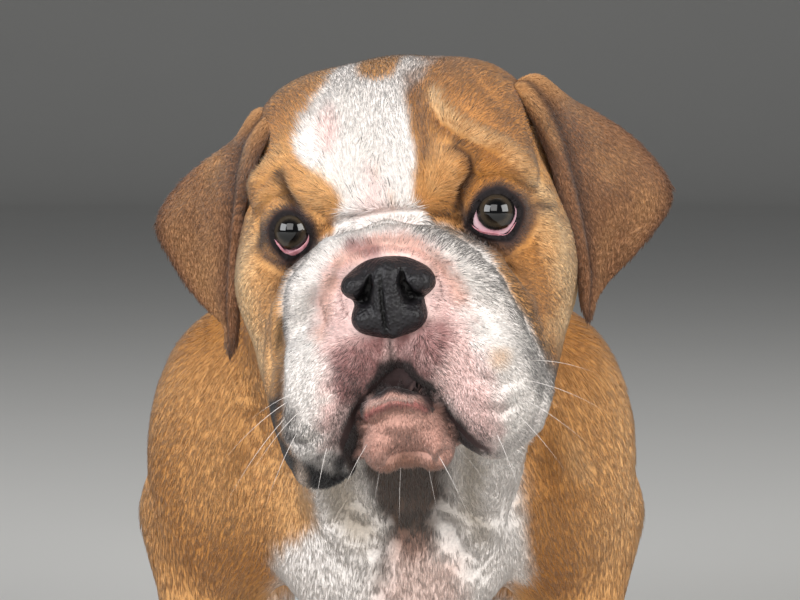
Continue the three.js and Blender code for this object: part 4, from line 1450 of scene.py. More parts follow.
@dataclass
class Skin:
    """One closed skin in place of every flesh node, a coat's depth inside them."""

    body: BodyFrame
    form: PuppyForm
    markings: Markings
    folds: FaceFolds
    comb: Comb
    voxel: float = 1.9
    growth: float = 0.45
    body_share: float = 0.14
    lid_edge: float = 0.3
    sunk: float = 8.6
    ground: float = 0.4
    mouth_filling: float = 8.0
    mouth_rounds: int = 4
    mouth_edge: float = 1.4
    mouth_rows: tuple[float, ...] = (9.5, 17.0, 25.0, 33.0)
    flesh: tuple[str, ...] = (
        "head", "lower_jaw", "neck", "torso", "tail", "foreleg_left", "foreleg_right",
        "hindleg_left", "hindleg_right",
    )
    piece: Piece = field(init=False)
    points: Points = field(init=False)
    normals: Array = field(init=False)
    ears: Array = field(init=False)
    colours: Array = field(init=False)
    lie: Array = field(init=False)

    def depth(self, points: Points) -> Array:
        """How deep the coat is.

        Args:
            points: Places in the body's frame.

        Returns:
            Millimetres.
        """
        local = self.body.to_head(points)
        face = smoothstep(50.0, 10.0, local[:, 1]) * smoothstep(-110.0, -96.0, local[:, 2])
        head = smoothstep(120.0, 80.0, local[:, 1])
        paws = smoothstep(50.0, 30.0, points[:, 2])
        return 1.9 - 0.7 * head - 0.55 * face - 0.9 * paws

    def _rough(self) -> Piece:
        """The flesh nodes' copies, grown until they touch, with the slot beside the chin filled.

        Returns:
            The piece, still many shells.
        """
        whole = bmesh.new()
        for name in self.flesh + tuple(f"eye_{word}" for word, _ in SIDES):
            mesh = bpy.data.meshes.new(name)
            with shaping(mesh) as part:
                part.from_mesh(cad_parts[name].data)
                bmesh.ops.remove_doubles(part, verts=part.verts, dist=MERGE_DISTANCE)
                part.normal_update()
                for vertex in part.verts:
                    vertex.co += vertex.normal * self.growth * MM
            whole.from_mesh(mesh)
            bpy.data.meshes.remove(mesh)
        for lip in (self.form.right_lip, self.form.left_lip):
            rows = np.array(lip)[:, :3]
            for row in np.concatenate([rows, (rows[1:] + rows[:-1]) / 2]):
                for deep in self.mouth_rows:
                    place = self.body.head_to_world(row[None] + (0, deep, 0))[0]
                    bmesh.ops.create_icosphere(whole, subdivisions=3, radius=self.mouth_filling * MM,
                                               matrix=Matrix.Translation(place))
        mesh = bpy.data.meshes.new("skin")
        whole.to_mesh(mesh)
        whole.free()
        return new_object("skin", mesh)

    def _remesh(self, piece: Piece) -> None:
        """Joins the rough copies into one even shell.

        Args:
            piece: The skin.
        """
        modifier = piece.modifiers.new("shell", "REMESH")
        modifier.mode = "VOXEL"
        modifier.voxel_size = self.voxel * MM
        piece.data = applied(piece)

    def _on_head(self, points: Points) -> Array:
        """Whether places in the body's frame are part of the head or an ear."""
        x, y, z = self.body.to_head(points).T
        return (y < 78) & (z > -100) | (np.abs(x) > 62) & (y < 84) & (z > -60)

    def _thin_body(self, piece: Piece) -> None:
        """Leaves fewer faces on the body, where the skin is plainer.

        Args:
            piece: The skin.
        """
        mesh = piece.data
        chosen = ~self._on_head(self.body.from_world(coordinates(mesh)))
        for part in (mesh.polygons, mesh.edges, mesh.vertices):
            part.foreach_set("select", np.zeros(len(part), bool))
        mesh.vertices.foreach_set("select", chosen)
        mesh.edges.foreach_set("select", chosen[edge_pairs(mesh)].all(1))
        mesh.polygons.foreach_set("select", chosen[corner_vertices(mesh).reshape(-1, 4)].all(1))
        choose(piece)
        bpy.ops.object.mode_set(mode="EDIT")
        bpy.ops.mesh.decimate(ratio=self.body_share)
        bpy.ops.object.mode_set(mode="OBJECT")

    def _refine(self, mesh: Mesh, chosen: Callable[[Points], Array]) -> None:
        """Cuts some of the skin's faces in four.

        Args:
            mesh: The skin's mesh.
            chosen: Tells from places in the head's frame which of them it takes.
        """
        inside = chosen(self.body.world_to_head(coordinates(mesh)))
        with shaping(mesh) as shape:
            edges = [e for e in shape.edges if inside[e.verts[0].index] and inside[e.verts[1].index]]
            bmesh.ops.subdivide_edges(shape, edges=edges, cuts=1, use_grid_fill=True)
            bmesh.ops.triangulate(shape, faces=[f for f in shape.faces if len(f.verts) > 4])

    def _on_face(self, local: Points) -> Array:
        """Whether places in the head's frame are on the front of the face."""
        x, y, z = local.T
        return (y < 16) & (np.abs(x) < 55) & (z > -94) & (z < 36)

    def _round_eyes(self, local: Points) -> Array:
        """Whether places in the head's frame are close to an eye."""
        return self.body.eye_gap(local) < 15

    def _near_lips(self, local: Points) -> Array:
        """Whether places in the head's frame are by the line of the mouth."""
        return (local[:, 1] < -10) & (self.form.lip_gap(local) < 5.5)

    def _by_mouth(self, local: Points) -> Array:
        """Whether places in the head's frame are on the lips or beside the chin."""
        return (local[:, 1] < 12) & (self.form.lip_gap(local) < 10)

    def _on_chest(self, local: Points) -> Array:
        """Whether places in the head's frame are on the throat or chest."""
        x, y, z = local.T
        return (y < 60) & (z < -92) & (z > -172) & (np.abs(x - 12) < 64)

    def _relax(self, mesh: Mesh, rounds: int, share: float) -> Points:
        """Evens out the skin's vertices and brings them back to the coat's depth.

        Args:
            mesh: The skin's mesh.
            rounds: How often the vertices move towards their neighbours.
            share: How far they move each time.

        Returns:
            Their places in the body's frame.
        """
        points, edges = self.body.from_world(coordinates(mesh)), edge_pairs(mesh)
        for _ in range(rounds):
            points += (neighbour_mean(points, edges) - points) * share
        points = settle_depth(self.form, points, self.depth(points))
        set_coordinates(mesh, self.body.to_world(points))
        return points

    def _ease_mouth(self, mesh: Mesh, rounds: int = 6, share: float = 0.6) -> None:
        """Draws out the creases that the filled slot between the chin and the upper lips leaves.

        Args:
            mesh: The skin's mesh.
            rounds: How often the vertices there move towards their neighbours after each split.
            share: How far they move each time.
        """
        for _ in range(self.mouth_rounds):
            self._split_long(mesh)
            points, edges = self.body.from_world(coordinates(mesh)), edge_pairs(mesh)
            near = np.flatnonzero(self._by_mouth(self.body.to_head(points)))
            for _ in range(rounds):
                points[near] += (neighbour_mean(points, edges)[near] - points[near]) * share
            points[near] = settle_depth(self.form, points[near], self.depth(points[near]))
            set_coordinates(mesh, self.body.to_world(points))

    def _split_long(self, mesh: Mesh) -> None:
        """Halves the long edges by the mouth and turns slanting ones, so that the faces are even.

        Args:
            mesh: The skin's mesh.
        """
        near = self._by_mouth(self.body.world_to_head(coordinates(mesh)))
        with shaping(mesh) as shape:
            shape.verts.ensure_lookup_table()
            bmesh.ops.triangulate(shape, faces=[f for f in shape.faces
                                                if all(near[v.index] for v in f.verts)])
            inner = [e for e in shape.edges if all(near[v.index] for v in e.verts)]
            long = [e for e in inner if e.calc_length() > self.mouth_edge * MM]
            made = bmesh.ops.subdivide_edges(shape, edges=long, cuts=1)["geom"]
            corners = [g for g in made if isinstance(g, bmesh.types.BMVert)]
            touched = dict.fromkeys(f for v in corners for f in v.link_faces)
            bmesh.ops.triangulate(shape, faces=[f for f in touched if len(f.verts) > 3])
            around = dict.fromkeys(f for v in corners if v.is_valid for f in v.link_faces)
            links = dict.fromkeys(e for f in around for e in f.edges
                                  if all(g in around for g in e.link_faces))
            bmesh.ops.beautify_fill(shape, faces=list(around), edges=list(links), method="ANGLE")

    def _open_lids(self, local: Points) -> Points:
        """Sinks the skin between the lids behind the eyeballs and draws its edge to the opening's line.

        Args:
            local: The skin's places in the head's frame.

        Returns:
            The moved places.
        """
        moved = local.copy()
        for _, side in SIDES:
            centre = self.body.eye(side)
            away = local - centre
            near = np.flatnonzero((np.linalg.norm(away, axis=1) < 15) & (away[:, 1] < 0))
            outline = EyeShape().outline(side, 96)
            gap = outline_gap(away[near][:, [0, 2]], outline)
            edge = near[np.abs(gap) < self.lid_edge]
            nearest = ((away[edge][:, None, [0, 2]] - outline[None]) ** 2).sum(2).argmin(1)
            moved[edge, 0] = centre[0] + outline[nearest, 0]
            moved[edge, 2] = centre[2] + outline[nearest, 1]
            inner = near[gap <= -self.lid_edge]
            moved[inner] = centre + unit(away[inner]) * self.sunk
        return moved

    def _with_ears(self, mesh: Mesh) -> list[Ear]:
        """Joins the ears' shells to the skin's mesh.

        Args:
            mesh: The skin's mesh.

        Returns:
            The ears, whose vertices follow the skin's own in this order.
        """
        ears = [Ear(side) for _, side in SIDES]
        with shaping(mesh) as shape:
            for ear in ears:
                shell = ear.build(self.body)
                shape.from_mesh(shell)
                bpy.data.meshes.remove(shell)
        return ears

    def _wrinkled(self, points: Points, normals: Array) -> Points:
        """Presses the folds into the face and chest and opens the lids.

        Args:
            points: The skin's places in the body's frame.
            normals: Their normals.

        Returns:
            The moved places.
        """
        local = self.body.to_head(points)
        lift = self.folds.lift(local, normals @ self.body.turned)
        points += normals * (lift * smoothstep(11.0, 13.5, self.body.eye_gap(local)))[:, None]
        points += normals * self.folds.chest_lift(points, normals)[:, None]
        return self.body.from_head(self._open_lids(self.body.to_head(points)))

    def build(self) -> None:
        """Makes the skin and keeps the coat's colours and lie on this object."""
        self.piece = self._rough()
        self._remesh(self.piece)
        self._thin_body(self.piece)
        mesh = self.piece.data
        self._refine(mesh, self._on_face)
        self._refine(mesh, self._round_eyes)
        self._relax(mesh, 3, 0.5)
        self._refine(mesh, self._near_lips)
        self._ease_mouth(mesh)
        self._refine(mesh, self._on_chest)
        points = self._relax(mesh, 1, 0.3)
        points[:, 2] = np.maximum(points[:, 2], self.ground)
        set_coordinates(mesh, self.body.to_world(points))
        points = self._wrinkled(points, vertex_normals(mesh))
        set_coordinates(mesh, self.body.to_world(points))
        colours = self.markings.colour(points)
        lie = self.comb.lie(points, vertex_normals(mesh))
        ears = self._with_ears(mesh)
        smooth(mesh)
        self.points, self.normals = self.body.from_world(coordinates(mesh)), vertex_normals(mesh)
        self.ears = (np.arange(len(self.points)) >= len(points)).astype(float)
        self.colours = np.concatenate([colours] + [ear.colours for ear in ears])
        self.lie = np.concatenate([lie] + [ear.lie for ear in ears])
        paint(mesh, "coat", self.colours)
        unwrap(self.piece)
        dress(self.piece, SkinFinish().make(), (*self.flesh, "ear_left", "ear_right"))


def settle_depth(form: PuppyForm, points: Points, depth: Array) -> Points:
    """Brings points to a depth inside the puppy's outer form.

    Args:
        form: The form.
        points: Where they start.
        depth: How deep each lies.

    Returns:
        The moved points.
    """
    p = points.copy()
    for cube in blocks(points, 34.0):
        p[cube] = settle_on(form.near(points[cube]), points[cube], 5, depth[cube], 0.2, 0.03)
    return p


def unwrap(piece: Piece) -> None:
    """Unwraps a piece by its own shape.

    Args:
        piece: The piece.
    """
    piece.data.uv_layers.new(name="OFBake")
    choose(piece)
    bpy.ops.object.mode_set(mode="EDIT")
    bpy.ops.mesh.select_all(action="SELECT")
    bpy.ops.uv.smart_project(angle_limit=math.radians(66), island_margin=0.002)
    bpy.ops.object.mode_set(mode="OBJECT")


def applied(piece: Piece) -> Mesh:
    """A piece's mesh with its modifiers applied; they are taken off.

    Args:
        piece: The piece.

    Returns:
        The finished mesh.
    """
    bpy.context.view_layer.update()
    graph = bpy.context.evaluated_depsgraph_get()
    mesh = bpy.data.meshes.new_from_object(piece.evaluated_get(graph))
    piece.modifiers.clear()
    return mesh


def add_node(tree: Tree, kind: str, values: dict[str | int, object], operation: str = "") -> Node:
    """Adds a shader node.

    Args:
        tree: The node tree.
        kind: The node's type without its common prefix.
        values: Constant values by the inputs' names or numbers.
        operation: The node's operation, if it has one.

    Returns:
        The node.
    """
    made = tree.nodes.new(f"ShaderNode{kind}")
    if operation:
        made.operation = operation
    for name, value in values.items():
        made.inputs[name].default_value = value
    return made


def noise_node(tree: Tree, scale: float, detail: float = 2.0) -> Node:
    """Noise on the object's own coordinates.

    Args:
        tree: The node tree.
        scale: How many swells there are in a metre.
        detail: How many finer layers it has.

    Returns:
        The noise node.
    """
    place = add_node(tree, "TexCoord", {})
    made = add_node(tree, "TexNoise", {"Scale": scale, "Detail": detail})
    tree.links.new(place.outputs["Object"], made.inputs["Vector"])
    return made


def painted(tree: Tree, shader: Node, grain: Node, spread: float) -> None:
    """Gives a shader a mesh's own colours, varied by a grain.

    Args:
        tree: The node tree.
        shader: The shader.
        grain: The node whose first output varies the lightness.
        spread: By how much it varies.
    """
    colour = add_node(tree, "Attribute", {})
    colour.attribute_name = "coat"
    ends = {"From Min": 0.3, "From Max": 0.7, "To Min": 1.0 - spread, "To Max": 1.0 + spread}
    spreading = add_node(tree, "MapRange", ends)
    varied = add_node(tree, "VectorMath", {}, "SCALE")
    tree.links.new(grain.outputs[0], spreading.inputs["Value"])
    tree.links.new(colour.outputs["Color"], varied.inputs[0])
    tree.links.new(spreading.outputs["Result"], varied.inputs["Scale"])
    tree.links.new(varied.outputs["Vector"], shader.inputs["Base Color"])


def ramped(tree: Tree, shader: Node, driver: Socket, stops: Sequence[tuple[float, Station]]) -> None:
    """Drives a shader's colour through a ramp.

    Args:
        tree: The node tree.
        shader: The shader.
        driver: The socket that drives the ramp.
        stops: At least two places on the ramp, in order, with their linear colours.
    """
    ramp = tree.nodes.new("ShaderNodeValToRGB")
    elements = ramp.color_ramp.elements
    for element, (position, colour) in ((elements[0], stops[0]), (elements[1], stops[-1])):
        element.position = position
        element.color = (*colour, 1)
    for position, colour in stops[1:-1]:
        elements.new(position).color = (*colour, 1)
    tree.links.new(driver, ramp.inputs["Fac"])
    tree.links.new(ramp.outputs["Color"], shader.inputs["Base Color"])


@dataclass(frozen=True)
class Finish:
    """A surface's finish: its shader's own values, and how strong its bump is."""

    name: str
    roughness: float
    specular: float = 0.3
    coat: float = 0.0
    coat_roughness: float = 0.1
    sheen: float = 0.0
    subsurface: float = 0.0
    bump: float = 0.0
    bump_distance: float = 0.0004

    def material(self) -> tuple[Material, Tree, Node]:
        """The material with its constant values set.

        Returns:
            The material, its node tree and its shader node.
        """
        made = bpy.data.materials.new(self.name)
        made.use_nodes = True
        shader = made.node_tree.nodes["Principled BSDF"]
        values = {
            "Roughness": self.roughness, "Specular IOR Level": self.specular, "Coat Weight": self.coat,
            "Coat Roughness": self.coat_roughness, "Sheen Weight": self.sheen,
            "Subsurface Weight": self.subsurface, "Subsurface Scale": 0.002,
        }
        for name, value in values.items():
            shader.inputs[name].default_value = value
        return made, made.node_tree, shader

    def with_bump(self, tree: Tree, shader: Node, height: Socket) -> None:
        """Drives the shader's normal from a height.

        Args:
            tree: The material's node tree.
            shader: Its shader.
            height: The socket that gives the height.
        """
        bump = add_node(tree, "Bump", {"Strength": self.bump, "Distance": self.bump_distance})
        tree.links.new(height, bump.inputs["Height"])
        tree.links.new(bump.outputs["Normal"], shader.inputs["Normal"])


@dataclass(frozen=True)
class SkinFinish(Finish):
    """Skin under the coat, with the coat's markings and a close fine grain of hair."""

    name: str = "skin"
    roughness: float = 0.75
    specular: float = 0.2
    bump: float = 0.5

    def make(self) -> Material:
        """The material."""
        made, tree, shader = self.material()
        fine = noise_node(tree, 900.0, 3.0)
        painted(tree, shader, fine, 0.16)
        self.with_bump(tree, shader, fine.outputs[0])
        return made


@dataclass(frozen=True)
class HairFinish(Finish):
    """Short straight hair, each tuft with its own shade."""

    name: str = "hair"
    roughness: float = 0.6
    specular: float = 0.28
    sheen: float = 0.12

    def make(self) -> Material:
        """The material."""
        made, tree, shader = self.material()
        painted(tree, shader, noise_node(tree, 700.0), 0.12)
        return made


@dataclass(frozen=True)
class NoseFinish(Finish):
    """Moist black leather, finely pebbled."""

    name: str = "nose_leather"
    roughness: float = 0.48
    specular: float = 0.3
    coat: float = 0.03
    coat_roughness: float = 0.25
    bump: float = 1.0
    bump_distance: float = 0.0006

    def make(self) -> Material:
        """The material."""
        made, tree, shader = self.material()
        place = add_node(tree, "TexCoord", {})
        cells = tree.nodes.new("ShaderNodeTexVoronoi")
        cells.feature = "SMOOTH_F1"
        cells.inputs["Scale"].default_value = 820.0
        painted(tree, shader, cells, 0.35)
        turned = add_node(tree, "Math", {0: 1.0}, "SUBTRACT")
        tree.links.new(place.outputs["Object"], cells.inputs["Vector"])
        tree.links.new(cells.outputs["Distance"], turned.inputs[1])
        self.with_bump(tree, shader, turned.outputs[0])
        return made


@dataclass(frozen=True)
class WetSkinFinish(Finish):
    """Moist bare skin of one colour with a little mottling."""

    colour: Station = (205, 140, 145)
    dark: Station = (150, 80, 90)
    scale: float = 420.0

    def make(self) -> Material:
        """The material."""
        made, tree, shader = self.material()
        grain = noise_node(tree, self.scale, 3.0)
        ramped(tree, shader, grain.outputs[0], ((0.3, linear(self.dark)), (0.62, linear(self.colour))))
        self.with_bump(tree, shader, grain.outputs[0])
        return made


@dataclass(frozen=True)
class EyeFinish(Finish):
    """A wet eye: pupil, brown iris with fine rays, dark rim and white, ringed round the gaze."""

    name: str = "eye_surface"
    roughness: float = 0.06
    specular: float = 0.15
    coat: float = 0.75
    coat_roughness: float = 0.02
    rays: float = 0.09
    rings: tuple[tuple[float, Station], ...] = (
        (0.0, (4, 4, 5)), (0.34, (5, 5, 6)), (0.41, (20, 17, 14)), (0.54, (56, 48, 38)), (0.64, (50, 43, 35)),
        (0.71, (14, 12, 12)), (0.81, (7, 6, 7)), (0.88, (196, 156, 166)), (1.04, (222, 190, 198)),
    )

    def make(self, centre: Station, gaze: Station) -> Material:
        """The material for one eye.

        Args:
            centre: The eye's middle in the world.
            gaze: The way it looks in the world.

        Returns:
            The material.
        """
        made, tree, shader = self.material()
        chain = (
            add_node(tree, "VectorMath", {1: centre}, "SUBTRACT"),
            add_node(tree, "VectorMath", {}, "NORMALIZE"),
            add_node(tree, "VectorMath", {1: gaze}, "DOT_PRODUCT"),
            add_node(tree, "Math", {}, "ARCCOSINE"),
        )
        tree.links.new(add_node(tree, "TexCoord", {}).outputs["Object"], chain[0].inputs[0])
        for before, after in zip(chain[:-1], chain[1:]):
            source = "Value" if before.operation == "DOT_PRODUCT" else "Vector"
            tree.links.new(before.outputs[source], after.inputs[0])
        stir = add_node(tree, "Math", {1: self.rays}, "MULTIPLY_ADD")
        tree.links.new(noise_node(tree, 900.0).outputs[0], stir.inputs[0])
        tree.links.new(chain[-1].outputs[0], stir.inputs[2])
        ramped(tree, shader, stir.outputs[0], [(position, linear(colour)) for position, colour in self.rings])
        return made


@dataclass(frozen=True)
class PlainFinish(Finish):
    """A backdrop or horn of one colour with a soft grain."""

    colour: Station = (225, 225, 225)
    spread: float = 0.04
    scale: float = 30.0

    def make(self) -> Material:
        """The material."""
        made, tree, shader = self.material()
        grain = noise_node(tree, self.scale, 3.0)
        tones = [np.clip(linear(self.colour) * share, 0, 1) for share in (1 - self.spread, 1 + self.spread)]
        ramped(tree, shader, grain.outputs[0], tuple(zip((0.0, 1.0), tones)))
        if self.bump:
            self.with_bump(tree, shader, grain.outputs[0])
        return made


def dress(piece: Piece, material: Material, nodes: Sequence[str] = ()) -> Piece:
    """Gives a finished piece its material and ties it to the frame.

    Args:
        piece: The piece.
        material: Its material.
        nodes: The CAD nodes that it replaces.

    Returns:
        The piece.
    """
    piece.data.materials.clear()
    piece.data.materials.append(material)
    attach(piece, BODY)
    if nodes:
        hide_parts(*nodes)
    LOG.info("%s: %d faces", piece.name, len(piece.data.polygons))
    return piece


@dataclass
class Coat:
    """Short hair as thin closed tufts that lie along the skin and overlap.

    Lengths and widths are for the body, head, face and muzzle, in that order.
    """

    body: BodyFrame
    skin: Skin
    form: PuppyForm
    nose: Form
    material: Material
    lengths: tuple[float, ...] = (8.0, 5.2, 4.2, 2.8)
    widths: tuple[float, ...] = (0.72, 0.54, 0.45, 0.37)
    paw: tuple[float, float] = (4.5, 0.62)
    ear: tuple[float, float] = (3.4, 0.44)
    chest: tuple[float, float] = (5.5, 0.52)
    cover: float = 1.75
    most_in_piece: int = 48000
    patch: float = 0.0015
    sink: float = 0.25
    floor_gap: float = 0.15
    dark_hair: float = 0.26
    whisker_half: float = 0.1
    whiskers: tuple[tuple[float, float, float, float, float], ...] = (
        (-40, -60, -1.0, -0.5, 30), (-42, -66, -1.0, -0.9, 34), (-38, -72, -0.8, -1.2, 26),
        (-34, -56, -1.0, -0.2, 22),
        (-36, -64, -0.9, -0.7, 24), (-28, -78, -0.4, -1.2, 20), (46, -60, 1.0, -0.2, 32),
        (44, -66, 1.0, -0.5, 28),
        (48, -54, 1.0, 0.0, 26), (42, -72, 0.9, -0.9, 24), (40, -58, 1.0, -0.4, 22), (34, -78, 0.5, -1.2, 20),
        (-10, -84, -0.4, -1.2, 18), (-4, -86, -0.15, -1.2, 22), (5, -86, 0.2, -1.2, 20),
        (12, -84, 0.6, -1.1, 22),
        (15, -80, 0.9, -0.9, 20), (-13, -78, -0.8, -1.0, 20),
    )

    def _head_share(self, local: Points) -> Array:
        """How far places in the head's frame belong to the head, from 0 to 1."""
        return smoothstep(130.0, 60.0, local[:, 1]) * smoothstep(-120.0, -95.0, local[:, 2])

    def _measures(self, points: Points, ears: Array) -> tuple[Array, Array, Array]:
        """The tufts' sizes at places of the skin.

        Args:
            points: Places in the body's frame.
            ears: 1 where they are on an ear, 0 elsewhere.

        Returns:
            Length, width and spacing in millimetres.
        """
        local = self.body.to_head(points)
        head = self._head_share(local)
        face = head * smoothstep(30.0, 8.0, local[:, 1])
        muzzle = head * smoothstep(10.0, -6.0, local[:, 1]) * smoothstep(8.0, -2.0, local[:, 2])
        paws = smoothstep(60.0, 30.0, points[:, 2])
        length, width = (
            size[0] + (size[1] - size[0]) * head + (size[2] - size[1]) * face + (size[3] - size[2]) * muzzle
            for size in (self.lengths, self.widths)
        )
        length = length * (1 - 0.45 * smoothstep(18.0, 13.0, self.body.eye_gap(local)))
        length = length * (1 - 0.3 * muzzle * smoothstep(16.0, 8.0, self.form.lip_gap(local)))
        length = length + (self.paw[0] - length) * paws + (self.ear[0] - length) * ears * (1 - paws)
        width = width + (self.paw[1] - width) * paws + (self.ear[1] - width) * ears * (1 - paws)
        chest = smoothstep(-60.0, -80.0, points[:, 1]) * (1 - head) * (1 - paws)
        length = length + (self.chest[0] - self.lengths[0]) * chest
        width = width + (self.chest[1] - self.widths[0]) * chest
        below = smoothstep(-50.0, -30.0, points[:, 1]) * smoothstep(62.0, 50.0, np.abs(points[:, 0]))
        below = below * smoothstep(135.0, 115.0, points[:, 2])
        cover = self.cover + 0.45 * np.maximum(head, ears) - 0.8 * below
        return length, width, np.sqrt(length * width * 0.5 / cover)

    def _bare(self, points: Points, ears: Array) -> Array:
        """Where no hair grows: round the eyes, on the nose, the lips' line, the soles and in the ears' roots.

        Args:
            points: Places in the body's frame.
            ears: 1 where they are on an ear, 0 elsewhere.

        Returns:
            1 on bare skin, 0 in the coat.
        """
        local = self.body.to_head(points)
        bare = np.zeros(len(points))
        for _, side in SIDES:
            away = local - self.body.eye(side)
            near = np.flatnonzero((np.linalg.norm(away, axis=1) < 16) & (away[:, 1] < 2))
            bare[near] = outline_gap(away[near][:, [0, 2]], EyeShape().outline(side, 48)) < 1.2
        bare = np.maximum(bare, (self.nose.at(local) < 0.6) & (local[:, 1] < 0))
        bare = np.maximum(bare, points[:, 2] < 1.2)
        bare = np.maximum(bare, (self.form.lip_gap(local) < 1.3) & (local[:, 1] < -10) & (local[:, 2] > -84))
        return np.maximum(bare, (ears > 0.5) & (self.form.head.at(local) < -1.0))

    def roots(self, rng: np.random.Generator) -> dict[str, Array]:
        """Chooses where the tufts stand.

        Args:
            rng: Where chance comes from.

        Returns:
            What each tuft's root has: place, normal, lie, colour, ear share and UV place.
        """
        mesh, skin = self.skin.piece.data, self.skin
        mesh.calc_loop_triangles()
        corners = read(mesh.loop_triangles, "vertices", 3, np.int32)
        loops = read(mesh.loop_triangles, "loops", 3, np.int32)
        uv = read(mesh.uv_layers.active.data, "uv", 2)[loops]
        a, b, c = (skin.points[corners[:, k]] for k in range(3))
        area = np.linalg.norm(np.cross(b - a, c - a), axis=1) / 2
        middle = (a + b + c) / 3
        ears = skin.ears[corners].mean(1)
        _, _, spacing = self._measures(middle, ears)
        expected = area / spacing**2 * (1 - self._bare(middle, ears))
        number = np.floor(expected + rng.random(len(corners))).astype(int)
        tri = np.repeat(np.arange(len(corners)), number)
        u, v = rng.random(len(tri)), rng.random(len(tri))
        flip = u + v > 1
        u[flip], v[flip] = 1 - u[flip], 1 - v[flip]
        w = np.stack([1 - u - v, u, v], 1)[:, :, None]

        def mix(values: Array) -> Array:
            """A vertex value brought to the roots."""
            return (values[corners[tri]] * w).sum(1)

        return {
            "place": mix(skin.points), "normal": unit(mix(skin.normals)), "lie": unit(mix(skin.lie)),
            "colour": mix(skin.colours), "ear": mix(skin.ears[:, None])[:, 0], "uv": (uv[tri] * w).sum(1),
        }

    def _tufts(self, root: dict[str, Array], fine: Array, rng: np.random.Generator) -> Points:
        """Shapes the tufts, each a thin wedge of four corners.

        Args:
            root: What each tuft's root has.
            fine: 1 on the head and ears, 0 on the body.
            rng: Where chance comes from.

        Returns:
            The left, right, ridge and tip corners of each tuft in the body's frame.
        """
        place, normal, lie = root["place"], root["normal"], root["lie"]
        count = len(place)
        length, width, _ = self._measures(place, root["ear"])
        length = length * rng.uniform(0.7, 1.25, count)
        width = width * rng.uniform(0.75, 1.25, count)
        sway = (noise(place, 9.0, 11) - 0.5) * 0.75 * fine + (noise(place, 34.0, 12) - 0.5) * 0.3 * (1 - fine)
        sway += rng.normal(0, 1, count) * (0.1 + 0.06 * fine)
        way = unit(lie + np.cross(normal, lie) * sway[:, None])
        across = unit(np.cross(normal, way))
        rise = self.skin.depth(place) * rng.uniform(0.12, 0.5, count) * (1 + 0.6 * fine)
        half = (width / 2)[:, None]
        low = place - normal * self.sink
        ridge = place + normal * (width * (0.18 + 0.14 * fine))[:, None] + way * (length * 0.08)[:, None]
        tip = place + way * length[:, None] + normal * rise[:, None]
        vertices = np.stack([low + across * half, low - across * half, ridge, tip], 1)
        vertices[:, :, 2] = np.maximum(vertices[:, :, 2], self.floor_gap)
        return vertices

    def _shades(self, root: dict[str, Array], local: Points, fine: Array, rng: np.random.Generator) -> Array:
        """Colours the tufts, each a little lighter or darker, darker at its root, some of them dark.

        Args:
            root: What each tuft's root has.
            local: The roots' places in the head's frame.
            fine: 1 on the head and ears, 0 on the body.
            rng: Where chance comes from.

        Returns:
            Linear colours of each tuft's four corners.
        """
        count = len(local)
        mounds = np.minimum(*(np.hypot(local[:, 0] - side * 22, local[:, 2] - 14) for _, side in SIDES))
        brow = np.exp(-((mounds / 12.0) ** 2)) * (local[:, 1] < 30)
        shade = 1.0 + rng.normal(0, 1, count) * (0.04 + 0.06 * fine) + rng.normal(0, 0.14, count) * brow
        shade = np.clip(shade, 0.6, 1.5)
        shade[rng.random(count) < self.skin.markings.ticking(local)] *= self.dark_hair
        fall = 1 + np.array([-0.16, -0.16, -0.04, 0.08])[None, :] * (0.35 + 0.65 * fine)[:, None]
        return np.clip(root["colour"][:, None, :] * (shade[:, None] * fall)[:, :, None], 0, 1)

    def build(self) -> None:
        """Grows the coat's pieces and the whiskers."""
        rng = np.random.default_rng(SEED)
        root = self.roots(rng)
        local = self.body.to_head(root["place"])
        fine = np.maximum(self._head_share(local), root["ear"])
        vertices = self._tufts(root, fine, rng)
        colours = self._shades(root, local, fine, rng)
        uv = root["uv"][:, None, :] + np.array([[-1, -1], [1, -1], [0, 0], [0, 1]])[None] * self.patch
        for name, slot, chosen in self._groups(root, local):
            index = np.flatnonzero(chosen)
            parts = math.ceil(len(index) / self.most_in_piece)
            for number, part in enumerate(np.array_split(index, max(parts, 1)), 1):
                label = f"coat_{name}_{number}" if parts > 1 else f"coat_{name}"
                self._piece(label, vertices[part], colours[part], uv[part])
        self._whiskers()

    def _groups(self, root: dict[str, Array], local: Points) -> tuple[tuple[str, str, Array], ...]:
        """Parts the tufts among the coat's pieces.

        Args:
            root: What each tuft's root has.
            local: The roots' places in the head's frame.

        Returns:
            Each piece's name, slot and the tufts that it holds.
        """
        on_ear = root["ear"] > 0.5
        on_head = ~on_ear & (local[:, 1] < 80) & (local[:, 2] > -100)
        pale = root["colour"][:, 2] > 0.30
        rest = ~on_ear & ~on_head
        left = root["place"][:, 0] > 0
        return (
            ("ears", "coat_brown", on_ear),
            ("head_white", "coat_white", on_head & pale),
            ("head_tan_left", "coat_tan", on_head & ~pale & left),
            ("head_tan_right", "coat_tan", on_head & ~pale & ~left),
            ("body_white", "coat_white", rest & pale),
            ("body_tan_left", "coat_tan", rest & ~pale & left),
            ("body_tan_right", "coat_tan", rest & ~pale & ~left),
        )

    def _piece(self, name: str, vertices: Array, colours: Array, uv: Array) -> None:
        """Makes one piece of the coat.

        Args:
            name: The piece's name.
            vertices: Its tufts' corners in the body's frame.
            colours: Their linear colours.
            uv: Their places on the skin's unwrap.
        """
        first = (np.arange(len(vertices)) * 4)[:, None, None]
        faces = (first + np.array([[0, 2, 3], [2, 1, 3], [1, 0, 3], [0, 1, 2]])[None]).reshape(-1, 3)
        mesh = mesh_from_arrays(name, self.body.to_world(vertices.reshape(-1, 3)), faces)
        self._finish(name, mesh, colours.reshape(-1, 3), uv.reshape(-1, 2))

